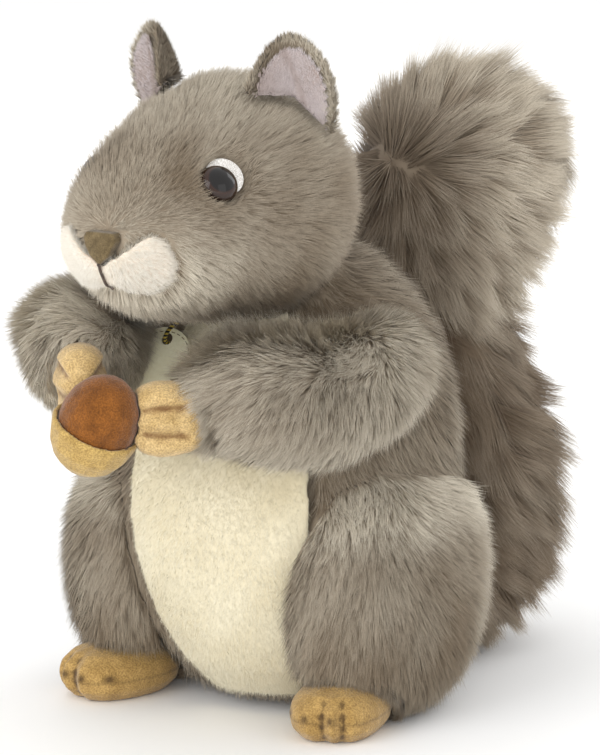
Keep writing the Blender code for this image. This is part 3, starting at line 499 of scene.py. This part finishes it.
def makeHead():
    piece, normals, exposed = skinOf("head", "headFur", headLook["voxel"], 4, headDepth)
    weight = exposed * (1.25 - 0.35 * blendStep(points(piece)[:, 1], -0.06, 0.0))
    roots, rootNormals = rootsOn(piece, normals, weight, headLook["count"])
    eyeReach, eyeOut = nearEyes(roots)
    keep = eyeReach > np.where(roots[:, 0] < 0, 0.0052, 0.0066)
    roots, rootNormals, eyeReach, eyeOut = roots[keep], rootNormals[keep], eyeReach[keep], eyeOut[keep]
    patch = distancesTo(faceTree, roots)
    keep = patch > 0.0004
    roots, rootNormals, eyeReach, eyeOut, patch = (
        roots[keep], rootNormals[keep], eyeReach[keep], eyeOut[keep], patch[keep])
    back = blendStep(roots[:, 1], -0.088, -0.02)
    comb = roots - (noseTip + np.array([0, 0.004, 0.006]))
    comb = unit(comb)  # away from the nose, over the face and back
    low = 1 - blendStep(roots[:, 2], headLow.z + 0.012, headLow.z + 0.045)
    comb = comb + np.outer(low, (0, 0, -0.8)) + np.array([0, 0.25, 0])
    rear = blendStep((eyeOut * unit(comb)).sum(axis=1), -0.3, 0.3)
    comb += eyeOut * (1.6 * rear * np.exp(-((eyeReach / 0.0105) ** 2)))[:, None]
    length = headLook["pile"] * (0.50 + 0.50 * back)
    length *= 0.90 - 0.35 * rear + (0.10 + 0.35 * rear) * blendStep(eyeReach, 0.0066, 0.0120)
    length *= 1 + 0.9 * (roots[:, 0] < 0) * (1 - rear) * (1 - blendStep(eyeReach, 0.010, 0.016))
    length *= 0.80 + 0.20 * blendStep(patch, 0.002, 0.008)
    length *= 0.4 + 0.6 * blendStep(distancesTo(earTree, roots), 0.002, 0.010)
    # painted highlight: the top of the head is paler (the 0.19 term)
    tone = 0.33 + 0.14 * waves(roots, 0.012, 1.0) + 0.19 * blendStep(roots[:, 2], 0.17, 0.20)
    ahead = np.exp(-(((eyeReach - 0.013) / 0.006) ** 2)) * blendStep(-(roots[:, 1]), 0.055, 0.075)
    chin = low * blendStep(-roots[:, 1], 0.055, 0.080)
    below = 1 - blendStep(roots[:, 2], noseTip[2] - 0.004, noseTip[2] + 0.006)
    beside = (1 - blendStep(patch, 0.0015, 0.0065)) * below
    behind = blendStep(roots[:, 1], -0.050, -0.010)
    length *= 1 + 0.9 * chin
    # painted light: the 0.75 * chin term makes the chin under the head much paler, where shade falls
    tone += 0.75 * chin - 0.22 * ahead - 0.14 * low + 0.3 * beside - 0.12 * behind
    strandMesh(piece, headLook, roots, rootNormals, comb, tone, length, greyPile)
    ridesAs(piece, "grey_plush", "head")


makeHead()


# body, arms and thighs

bodyLook = dict(furLook, count=105000, pile=0.0086, depth=0.0044, voxel=0.0028, lean=61)
armLook = dict(furLook, count=64000, pile=0.0082, depth=0.0042, voxel=0.0024)
thighLook = dict(furLook, count=74000, pile=0.0084, depth=0.0043, voxel=0.0026)


def furPiece(node, name, look, combAt, toneAt, bibGap=0.0, crest=None):
    high = crest or (lambda places, normals: np.zeros(len(places)))
    piece, normals, exposed = skinOf(
        node, name, look["voxel"], 4, lambda places, normals: look["depth"] * (1 - 0.9 * high(places, normals)))
    low = points(piece)[:, 2] > 0.002
    roots, rootNormals = rootsOn(piece, normals, exposed * low, look["count"])
    paw = distancesTo(pawTree, roots)
    panel = distancesTo(panelTree, roots)
    tag = distancesTo(tagTree, roots)
    length = look["pile"] * (0.75 + 0.25 * blendStep(paw, 0.001, 0.010))
    length *= 1 - bibGap * (1 - blendStep(panel, 0.0, 0.008))
    length *= 1 + 0.30 * high(roots, rootNormals)
    length *= 0.3 + 0.7 * blendStep(tag, 0.003, 0.012)
    length *= 0.6 + 0.4 * blendStep(roots[:, 2], 0.0, 0.015)
    comb, tone = combAt(roots, rootNormals), toneAt(roots, rootNormals)
    strandMesh(piece, look, roots, rootNormals, comb, tone, length, greyPile)
    ridesAs(piece, "grey_plush", node)


# level on top of a form, then down its sides
def fallFrom(normals, level):
    up = blendStep(normals[:, 2], 0.30, 0.85)[:, None]
    return np.array(level) * up + np.array([0, 0, -1.0]) * (1 - up)


def bodyComb(roots, normals):
    aside = np.clip(roots[:, 0] / 0.03, -1, 1)
    level = np.stack([aside, np.full(len(roots), 0.3), np.zeros(len(roots))], axis=1)
    return fallFrom(normals, level) + np.array([0, 0.2, 0]) + normals * np.array([0.5, 0.4, 0])


def bodyTone(roots, normals):
    tone = 0.28 + 0.12 * waves(roots, 0.016, 2.0)
    # painted highlight: the back edge of the body is paler
    tone += 0.12 * blendStep(roots[:, 1], 0.02, 0.05)
    # painted shade: darker at the top front of the body, in the crease under the head
    tone -= 0.15 * blendStep(roots[:, 2], 0.118, 0.132) * (1 - blendStep(roots[:, 1], 0.0, 0.03))
    return tone


furPiece("body", "bodyFur", bodyLook, bodyComb, bodyTone, bibGap=0.4)

acornLow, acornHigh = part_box("acorn_nut")
acornMiddle = (np.array(acornLow) + np.array(acornHigh)) / 2
for side, sign in (("left", 1), ("right", -1)):
    thighLow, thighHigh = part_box("thigh_" + side)
    thighMiddle = (np.array(thighLow) + np.array(thighHigh)) / 2

    def armComb(roots, normals):
        behind = blendStep(roots[:, 1], -0.045, 0.005)[:, None]
        ahead = unit((acornMiddle - roots) * np.array([1, 1, 0]))
        level = ahead * (1 - behind) + np.array([0, 0.35, 0]) * behind
        return level * 0.75 + fallFrom(normals, (sign * 0.75, -0.15, 0)) * 0.75

    def armTone(roots, normals):
        forward = blendStep(-roots[:, 1], 0.02, 0.065)
        inner = blendStep(-sign * normals[:, 0], 0.1, 0.6)
        # painted light: the far arm's fur gets a paler tone
        far = 0.3 if sign < 0 else 0.0
        behind = blendStep(roots[:, 1], -0.040, -0.005)
        top = blendStep(normals[:, 2], 0.3, 0.8)
        tone = 0.88 + far + 0.16 * waves(roots, 0.013, 3.0 + sign) - 0.34 * forward - 0.36 * behind
        # painted light: the inner side (inner) is lifted out of its shade, and the top (top) carries a painted
        # highlight
        return tone + 0.25 * inner + 0.20 * top

    def armCrest(places, normals):
        return blendStep(normals[:, 2], 0.15, 0.6) * blendStep(-places[:, 1], 0.012, 0.035)

    def thighComb(roots, normals):
        away = roots - (thighMiddle + np.array([0, -0.012, 0.020]))
        return unit(away) * np.array([0.2, 0.75, 0.35]) + fallFrom(normals, (sign * 0.9, -0.5, 0)) * 0.8

    def thighTone(roots, normals):
        # painted highlight: the top of the thigh is paler (0.70 * up)
        up = blendStep(roots[:, 2], thighMiddle[2] + 0.014, thighMiddle[2] + 0.030)
        middle = np.exp(-((np.linalg.norm((roots - thighMiddle)[:, 1:], axis=1) / 0.024) ** 2))
        # painted rim light: the back edge of the thigh is paler (0.36 * behind)
        behind = blendStep(roots[:, 1], 0.0, 0.03)
        below = 1 - blendStep(roots[:, 2], thighMiddle[2] - 0.035, thighMiddle[2] - 0.005)
        tone = 0.29 + 0.18 * waves(roots, 0.014, 4.0) + 0.70 * up + 0.36 * behind - 0.18 * below
        return tone - 0.22 * middle

    furPiece("arm_" + side, "arm" + side.title() + "Fur", armLook, armComb, armTone, crest=armCrest)
    furPiece("thigh_" + side, "thigh" + side.title() + "Fur", thighLook, thighComb, thighTone)


# tail

tailLook = dict(
    furLook, count=146000, pile=0.022, depth=0.0064, voxel=0.0030, lean=71, width=0.00027, perClump=140,
    clump=0.46, clumpTurn=0.24, clumpLong=0.10, uneven=0.22, loose=0.12, wander=0.028, wanderTurn=0.30,
    soft=0.80, rootPale=0.16, puffFrom=0.56, puffTo=0.66)


def makeTail():
    tailLow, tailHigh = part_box("tail")
    tall = tailHigh.z - tailLow.z
    piece = skinOf("tail", "tailFur", tailLook["voxel"], 8, evenDepth(tailLook), fused=False)[0]
    applied(piece, "SMOOTH", factor=0.5, iterations=10)
    normals = vertexNormals(piece)
    roots, rootNormals = rootsOn(piece, normals, np.ones(len(normals)), tailLook["count"])
    share = (roots[:, 2] - tailLow.z) / tall
    puff = blendStep(share, tailLook["puffFrom"], tailLook["puffTo"])[:, None]
    middle = roots[share > 0.7].mean(axis=0) + np.array([0, -0.012, -0.002])
    hang = np.array([0, 0.75, -0.75]) + rootNormals * 0.3
    spread = unit(roots - middle) + np.array([0.30, 0.80, -0.10])
    rear = blendStep(rootNormals[:, 1], 0.15, 0.60)[:, None]
    spread = spread * (1 - rear) + (np.array([0, 0.2, -1.0]) + rootNormals * np.array([0.4, 0, 0])) * rear
    comb = hang * (1 - puff) + spread * puff
    length = tailLook["pile"] * (0.92 - 0.06 * puff[:, 0])
    length = length * (0.55 + 0.45 * blendStep(roots[:, 2], 0.004, 0.045))
    inner = 1 - blendStep(roots[:, 1] + roots[:, 0] * 0.5, 0.062, 0.090)
    tone = 0.25 + 0.16 * waves(roots, 0.016, 5.0) - 0.60 * inner + 0.66 * puff[:, 0]
    strandMesh(piece, tailLook, roots, rootNormals, comb, tone, length, tailPile)
    ridesAs(piece, "tail_plush", "tail")


makeTail()


# ears

earLook = dict(
    furLook, count=16000, pile=0.0042, depth=0.0009, voxel=0.0009, lean=58, width=0.00028, perClump=8)
liningLook = dict(
    furLook, count=7000, pile=0.0017, depth=0.0003, voxel=0.0007, lean=62, width=0.00022, perClump=4)


def makeEar(side, sign):
    shellLow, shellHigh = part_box("ear_" + side)
    tall = shellHigh.z - shellLow.z
    middleX = sign * abs(shellLow.x + shellHigh.x) / 2
    piece, normals, _ = skinOf(
        "ear_" + side, "ear" + side.title() + "Fur", earLook["voxel"], 3, evenDepth(earLook), fused=False)
    liningTree = treeOf("ear_lining_" + side)
    clear = blendStep(distancesTo(liningTree, points(piece)), 0.0010, 0.0022)
    roots, rootNormals = rootsOn(piece, normals, clear + 0.001, earLook["count"])
    share = (roots[:, 2] - shellLow.z) / tall
    comb = np.tile(np.array([0, -0.2, 1.0]), (len(roots), 1)) + rootNormals * 0.2
    length = earLook["pile"] * (1.15 - 0.45 * share)
    inward = blendStep(-sign * (roots[:, 0] - middleX), 0.001, 0.007)
    tone = 0.66 + 0.1 * waves(roots, 0.01, 6.0) - 0.60 * inward * share - 0.15 * blendStep(share, 0.75, 1.0)
    strandMesh(piece, earLook, roots, rootNormals, comb, tone, length, greyPile)
    ridesAs(piece, "grey_plush", "ear_" + side)

    lining, normals, _ = skinOf(
        "ear_lining_" + side, "earLining" + side.title(), liningLook["voxel"], 3, evenDepth(liningLook),
        fused=False)
    front = blendStep(-normals[:, 1], -0.1, 0.3)
    roots, rootNormals = rootsOn(lining, normals, front + 0.001, liningLook["count"])
    share = (roots[:, 2] - shellLow.z) / tall
    across = sign * (roots[:, 0] - middleX) / (shellHigh.x - shellLow.x)
    # painted shade: a dark line where the lining folds
    fold = np.exp(-(((across + 0.02 + 0.25 * (share - 0.5)) / 0.05) ** 2))
    tone = 0.66 + 0.06 * waves(roots, 0.008, 7.0) - 0.45 * fold - 0.35 * blendStep(-across, 0.12, 0.34)
    comb = np.tile(np.array([sign * 0.3, 0, 1.0]), (len(roots), 1))
    length = np.full(len(roots), liningLook["pile"])
    strandMesh(lining, liningLook, roots, rootNormals, comb, tone, length, liningPile)
    ridesAs(lining, "ear_lining", "ear_lining_" + side)


for side, sign in (("left", 1), ("right", -1)):
    makeEar(side, sign)
print("squirrel: ears")


# belly panel and muzzle, in short pile

panelLook = dict(
    furLook, count=62000, pile=0.0018, depth=0.0008, voxel=0.0018, lean=58, width=0.00020, perClump=12,
    clump=0.10, mottle=0.05, clumpTurn=0.15, loose=0.25, rootPale=0.45)
muzzleLook = dict(
    furLook, count=20000, pile=0.0022, depth=0.0005, voxel=0.0009, lean=56, width=0.00018, perClump=9,
    clump=0.15, mottle=0.05, loose=0.2, rootPale=0.4, soft=0.85)


def makePanel():
    piece, normals, _ = skinOf(
        "belly_panel", "bellyPanel", panelLook["voxel"], 5, evenDepth(panelLook), fused=False)
    front = blendStep(-normals[:, 1] * 0.9 - normals[:, 2] * 0.3, -0.1, 0.2)
    roots, rootNormals = rootsOn(piece, normals, front + 0.0005, panelLook["count"])
    comb = np.tile(np.array([0, 0, -1.0]), (len(roots), 1)) + rootNormals * np.array([0.5, 0, 0])
    fold = np.exp(-(((roots[:, 0] - 0.003) / 0.0022) ** 2)) * blendStep(roots[:, 2], 0.02, 0.05)
    high = blendStep(roots[:, 2], 0.060, 0.085)
    bib = blendStep(roots[:, 2], 0.105, 0.120)
    tone = 0.66 + 0.10 * waves(roots, 0.018, 8.0) - 0.16 * fold - 0.40 * high + 0.70 * bib
    length = np.full(len(roots), panelLook["pile"])
    strandMesh(piece, panelLook, roots, rootNormals, comb, tone, length, creamPile)
    ridesAs(piece, "cream_plush", "belly_panel")


def makeMuzzle():
    piece, normals, _ = skinOf(
        "muzzle", "muzzlePile", muzzleLook["voxel"], 4, evenDepth(muzzleLook), fused=False)
    front = blendStep(np.abs(normals[:, 0]) * 0.9 - normals[:, 1], 0.0, 0.25)
    roots, rootNormals = rootsOn(piece, normals, front + 0.001, muzzleLook["count"])
    comb = roots - (noseTip + np.array([0, 0.01, -0.002]))
    comb[:, 2] *= 0.8
    comb += np.array([0, 0.01, -0.004])
    rim = blendStep(np.abs(roots[:, 0]), 0.012, 0.020)
    seam = np.exp(-((roots[:, 0] / 0.0012) ** 2))
    tone = 0.80 + 0.05 * waves(roots, 0.006, 9.0) - 0.18 * rim - 0.55 * seam
    length = muzzleLook["pile"] * (0.65 + 0.35 * blendStep(np.abs(roots[:, 0]), 0.0, 0.006))
    strandMesh(piece, muzzleLook, roots, rootNormals, comb, tone, length, whitePile)
    ridesAs(piece, "white_plush", "muzzle")


makePanel()
makeMuzzle()


# velour pieces: hands, feet, acorn and nose

def toeStitches(piece):
    places = points(piece)
    low, high = places.min(axis=0), places.max(axis=0)
    level = low[2] + 0.40 * (high[2] - low[2])
    seam = 0.36 * np.exp(-(((places[:, 2] - level) / 0.00055) ** 2))
    ahead = places[:, 1] < low[1] + 0.35 * (high[1] - low[1])
    middle = (low[0] + high[0]) / 2
    for across in (-0.26, 0.0, 0.26):
        away = np.hypot(places[:, 0] - middle - across * (high[0] - low[0]), places[:, 2] - level - 0.0012)
        seam = np.maximum(seam, ahead * 0.95 * np.exp(-((away / 0.0013) ** 2)))
    return seam


# painted shade: each point is darkened by how far it sinks below its smoothed neighbours, so grooves and
# hollows come out darker; extra adds the foot's own stitched seam and airbrushed toe spots to the same value
def shaded(piece, rounds, gain, extra=None):
    before, normals = points(piece), vertexNormals(piece)
    trial = piece.copy()
    trial.data = piece.data.copy()
    bpy.context.scene.collection.objects.link(trial)
    applied(trial, "SMOOTH", factor=0.5, iterations=rounds)
    sunk = ((points(trial) - before) * normals).sum(axis=1)
    bpy.data.objects.remove(trial, do_unlink=True)
    value = np.clip((sunk - 0.00003) * gain, 0, 0.9)
    if extra:
        value = np.maximum(value, extra(piece))
    shade = piece.data.attributes.new("shade", "FLOAT", "POINT")
    shade.data.foreach_set("value", value.astype(np.float32))


def clothPiece(node, name, slot, material, voxel, rounds, gain=5000.0, extra=None):
    piece = copyOfNode(node, name)
    remeshed(piece, voxel, rounds)
    shaded(piece, 24, gain, extra)
    onlySelect(piece)
    bpy.ops.object.shade_smooth()
    piece.data.materials.append(material)
    ridesAs(piece, slot, node)


for side in ("left", "right"):
    clothPiece("hand_" + side, "hand" + side.title(), "tan_velour", tanVelour, 0.0008, 2, gain=3200.0)
    clothPiece("foot_" + side, "foot" + side.title(), "tan_velour", footVelour, 0.0009, 1, extra=toeStitches)
clothPiece("acorn_nut", "acornNut", "rust_velour", rustVelour, 0.0010, 4, 0.0)
clothPiece("acorn_cup", "acornCup", "tan_velour", cupVelour, 0.0007, 2, 0.0)
clothPiece("nose", "noseCloth", "nose_suede", noseSuede, 0.0005, 3, 1500.0)
print("squirrel: velour")


# eyes: dome, iris and felt

eyeLook = {"dome": 0.0048, "feltRadius": 0.0061, "feltThick": 0.0008}


def eyeMaterial():
    made, nodes, links, shader = newMaterial("eyeGloss", 0.08, coat=0.35)
    shader.inputs["Coat Roughness"].default_value = 0.03
    shader.inputs["Specular IOR Level"].default_value = 0.3
    shade = nodes.new("ShaderNodeAttribute")
    shade.attribute_name = "shade"
    pupil, iris, edge = (0.004, 0.003, 0.003), (0.028, 0.010, 0.005), (0.012, 0.006, 0.004)
    stops = ((0.0, pupil), (0.62, pupil), (0.70, iris), (0.90, (0.020, 0.008, 0.004)), (1.0, edge))
    colour = ramp(nodes, stops, shade.outputs["Fac"], links)
    links.new(colour, shader.inputs["Base Color"])
    return made


eyeGloss = eyeMaterial()


def makeEye(side):
    eye = eyes[side]
    axis = Vector(eye["axis"])
    turn = axis.to_track_quat("Z", "Y").to_matrix().to_4x4()
    bpy.ops.object.select_all(action="DESELECT")
    bpy.ops.mesh.primitive_uv_sphere_add(segments=48, ring_count=24, radius=1)
    dome = bpy.context.object
    dome.name = "eye" + side.title()
    bpy.ops.object.mode_set(mode="EDIT")
    bpy.ops.mesh.select_all(action="SELECT")
    bpy.ops.mesh.bisect(plane_co=(0, 0, -0.02), plane_no=(0, 0, 1), clear_inner=True, use_fill=True)
    bpy.ops.object.mode_set(mode="OBJECT")
    places = points(dome)
    reach = np.linalg.norm(places[:, :2], axis=1)
    shade = dome.data.attributes.new("shade", "FLOAT", "POINT")
    shade.data.foreach_set("value", reach.astype(np.float32))
    dome.data.transform(Matrix.Translation(Vector(eye["base"])) @ turn
                        @ Matrix.Diagonal((eye["radius"], eye["radius"], eyeLook["dome"], 1)))
    onlySelect(dome)
    bpy.ops.object.shade_smooth()
    dome.data.materials.append(eyeGloss)
    ridesAs(dome, "eye_plastic", "eye_" + side)

    bpy.ops.object.select_all(action="DESELECT")
    bpy.ops.mesh.primitive_cylinder_add(vertices=64, radius=eyeLook["feltRadius"], depth=eyeLook["feltThick"])
    felt = bpy.context.object
    felt.name = "eyeFelt" + side.title()
    felt.data.transform(Matrix.Translation(Vector(eye["felt"])) @ turn)
    applied(felt, "BEVEL", width=0.0003, segments=3)
    onlySelect(felt)
    bpy.ops.object.shade_smooth()
    felt.data.materials.append(whiteFelt)
    ridesAs(felt, "white_felt", "eye_white_" + side)


for side in ("left", "right"):
    makeEye(side)
print("squirrel: eyes")


# hang tag and its cord

tagLook = {"inset": 0.0014, "step": 0.0021, "dash": 0.0013, "wide": 0.0003, "thick": 0.00016, "arch": 0.85}
cordLook = {"turns": 22, "steps": 260, "strand": 0.00036, "gap": 0.00034, "edge": 0.0006}


def cardMaterial():
    made, nodes, links, shader = newMaterial("creamCard", 0.62)
    fibre = noiseOn(nodes, links, 900, 3.0)
    colour = ramp(nodes, ((0.3, (0.90, 0.86, 0.62)), (0.7, (0.96, 0.93, 0.70))), fibre, links)
    links.new(colour, shader.inputs["Base Color"])
    bumped(nodes, links, shader, fibre, 0.0001, 0.3)
    return made


def goldMaterial(name, low, high, metal):
    made, nodes, links, shader = newMaterial(name, 0.45, sheen=0.1)
    shader.inputs["Metallic"].default_value = metal
    fibre = noiseOn(nodes, links, 3000, 2.0)
    links.new(ramp(nodes, ((0.3, low), (0.7, high)), fibre, links), shader.inputs["Base Color"])
    return made


creamCard = cardMaterial()
goldThread = goldMaterial("goldThread", (0.42, 0.30, 0.04), (0.72, 0.56, 0.12), 0.4)
blackThread = goldMaterial("blackThread", (0.012, 0.011, 0.010), (0.03, 0.028, 0.025), 0.0)
greyInk = goldMaterial("edgeStitch", (0.30, 0.26, 0.14), (0.40, 0.35, 0.2), 0.0)


def makeTag():
    card = copyOfNode("hang_tag", "hangTag")
    card.data.materials.append(creamCard)
    ridesAs(card, "tag_card", "hang_tag")
    places = np.unique(np.round(points(card), 6), axis=0)
    middle = places.mean(axis=0)
    vectors = np.linalg.eigh(np.cov((places - middle).T))[1]
    normal = vectors[:, 0] * -np.sign(vectors[1, 0])
    up = np.array([0, 0, 1]) - normal * normal[2]
    up = unit(up)
    across = np.cross(up, normal)
    low, high = ((places - middle) @ up).min(), ((places - middle) @ up).max()
    half = np.abs((places - middle) @ across).max()
    thick = ((places - middle) @ normal).max()
    inset, rise = tagLook["inset"], half * tagLook["arch"]
    line = [(-half + inset, low + inset), (half - inset, low + inset), (half - inset, high - half)]
    for k in range(1, 17):
        angle = math.pi * k / 16
        line.append(((half - inset) * math.cos(angle), high - rise + (rise - inset) * math.sin(angle)))
    line.append((-half + inset, low + inset))
    line = np.array(line)
    legs = np.linalg.norm(np.diff(line, axis=0), axis=1)
    dash = tagLook["dash"]
    marks = bmesh.new()
    for start in np.arange(0, legs.sum() - dash, tagLook["step"]):
        ends = []
        for s in (start, start + dash):
            k = min(int(np.searchsorted(np.cumsum(legs), s)), len(legs) - 1)
            rest = s - (np.cumsum(legs)[k] - legs[k])
            ends.append(line[k] + (line[k + 1] - line[k]) * rest / legs[k])
        here, there = (middle + across * e[0] + up * e[1] + normal * thick for e in ends)
        along = there - here
        size = np.linalg.norm(along)
        turn = Matrix((along / size, np.cross(normal, along / size), normal)).transposed().to_4x4()
        turn.translation = Vector((here + there) / 2)
        sizes = Matrix.Diagonal((size, tagLook["wide"], tagLook["thick"], 1))
        bmesh.ops.create_cube(marks, size=1, matrix=turn @ sizes)
    mesh = bpy.data.meshes.new("tagEdge")
    marks.to_mesh(mesh)
    marks.free()
    edge = bpy.data.objects.new("tagEdge", mesh)
    bpy.context.scene.collection.objects.link(edge)
    edge.data.materials.append(greyInk)
    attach(edge, "root")


def makeCord():
    places = np.unique(np.round(points(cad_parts["tag_loop"]), 6), axis=0)
    middle = places.mean(axis=0)
    vectors = np.linalg.eigh(np.cov((places - middle).T))[1]
    longWay, shortWay, normal = vectors[:, 2], vectors[:, 1], vectors[:, 0]
    longReach = np.abs((places - middle) @ longWay).max() - cordLook["edge"]
    shortReach = np.abs((places - middle) @ shortWay).max() - cordLook["edge"]
    made = []
    for name, turnOn, material in (("cordGold", 0.0, goldThread), ("cordBlack", math.pi, blackThread)):
        curve = bpy.data.curves.new(name, "CURVE")
        curve.dimensions = "3D"
        curve.bevel_depth = cordLook["strand"]
        curve.bevel_resolution = 2
        spline = curve.splines.new("POLY")
        spline.points.add(cordLook["steps"] - 1)
        for k, point in enumerate(spline.points):
            angle = 2 * math.pi * k / cordLook["steps"]
            centre = middle + longWay * longReach * math.cos(angle) + shortWay * shortReach * math.sin(angle)
            out = unit(longWay * math.cos(angle) * shortReach + shortWay * math.sin(angle) * longReach)
            twist = angle * cordLook["turns"] + turnOn
            point.co = (*(centre + (out * math.cos(twist) + normal * math.sin(twist)) * cordLook["gap"]), 1)
        spline.use_cyclic_u = True
        guide = bpy.data.objects.new(name, curve)
        bpy.context.scene.collection.objects.link(guide)
        onlySelect(guide)
        bpy.ops.object.convert(target="MESH")
        thread = bpy.context.object
        thread.data.materials.append(material)
        onlySelect(thread)
        bpy.ops.object.shade_smooth()
        made.append(thread)
    ridesAs(made[0], "gold_cord", "tag_loop")
    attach(made[1], "root")


makeTag()
makeCord()
print("squirrel: tag")


# mouth seam under the nose

mouthLook = {"thick": 0.00045, "drop": 0.0085, "steps": 12}


def makeMouth():
    curve = bpy.data.curves.new("mouthSeam", "CURVE")
    curve.dimensions = "3D"
    curve.bevel_depth = mouthLook["thick"]
    curve.bevel_resolution = 2
    curve.use_fill_caps = True
    tree = treeOf("muzzle", "head", "nose")
    spline = curve.splines.new("POLY")
    steps = mouthLook["steps"]
    spline.points.add(steps - 1)
    for k, point in enumerate(spline.points):
        z = noseLow.z + 0.0004 - mouthLook["drop"] * k / (steps - 1)
        hit = tree.ray_cast(Vector((0, -0.2, z)), Vector((0, 1, 0)))[0]
        point.co = (0, (hit.y if hit else noseTip[1]) - 0.0001, z, 1)
    guide = bpy.data.objects.new("mouthSeam", curve)
    bpy.context.scene.collection.objects.link(guide)
    onlySelect(guide)
    bpy.ops.object.convert(target="MESH")
    seam = bpy.context.object
    seam.data.materials.append(seamThread)
    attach(seam, "root")


makeMouth()

# the plain washers inside the head
washerMaterial, washerNodes, washerLinks, washerShader = newMaterial("washerPlastic", 0.45)
washerLinks.new(ramp(washerNodes, ((0.3, (0.55, 0.55, 0.53)), (0.7, (0.65, 0.65, 0.63))),
                     noiseOn(washerNodes, washerLinks, 400), washerLinks), washerShader.inputs["Base Color"])
for side in ("left", "right"):
    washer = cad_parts["eye_washer_" + side]
    washer.data.materials.clear()
    washer.data.materials.append(washerMaterial)


# camera, floor and light

studio = {"azimuth": 34.0, "elevation": 11.5, "distance": 1.5, "lens": 225.3, "target": (0, 0.01421, 0.09988)}


def makeStudio():
    a, e = math.radians(studio["azimuth"]), math.radians(studio["elevation"])
    back = Vector((math.sin(a) * math.cos(e), -math.cos(a) * math.cos(e), math.sin(e)))
    lens = bpy.data.cameras.new("camera")
    lens.sensor_width = 36
    lens.lens = studio["lens"]
    camera = bpy.data.objects.new("camera", lens)
    camera.location = Vector(studio["target"]) + back * studio["distance"]
    camera.rotation_euler = (-back).to_track_quat("-Z", "Y").to_euler()
    bpy.context.scene.collection.objects.link(camera)
    bpy.context.scene.camera = camera

    bpy.ops.object.select_all(action="DESELECT")
    bpy.ops.mesh.primitive_plane_add(size=12, location=(0, 0, -0.0002))
    floor = bpy.context.object
    floor.name = "floor"
    material, _, _, shader = newMaterial("paleFloor", 0.7)
    shader.inputs["Base Color"].default_value = (0.97, 0.97, 0.97, 1)
    floor.data.materials.append(material)

    world = bpy.data.worlds.new("studio")
    world.use_nodes = True
    world.node_tree.nodes["Background"].inputs["Color"].default_value = (1.0, 0.995, 0.985, 1)
    world.node_tree.nodes["Background"].inputs["Strength"].default_value = 1.0
    bpy.context.scene.world = world
    for name, place, size, power in (
        ("front", (0.86, -1.28, 0.46), 0.5, 4.5),
        ("key", (-0.35, -1.45, 0.80), 1.0, 6.5),
        ("low", (-0.10, -1.50, 0.14), 0.5, 5.5),
        ("fill", (1.45, -0.55, 0.5), 1.0, 1.5),
        ("rim", (0.5, 1.3, 0.9), 1.0, 5.0),
        ("back", (-0.9, 1.0, 0.6), 1.0, 3.0),
    ):
        light = bpy.data.lights.new(name, "AREA")
        light.size = size
        light.energy = power
        lamp = bpy.data.objects.new(name, light)
        lamp.location = place
        lamp.rotation_euler = (Vector((0, 0, 0.1)) - Vector(place)).to_track_quat("-Z", "Y").to_euler()
        lamp.visible_glossy = name in ("key", "fill", "rim")
        bpy.context.scene.collection.objects.link(lamp)
    bpy.context.scene.view_settings.view_transform = "Standard"


makeStudio()
print("squirrel: done")
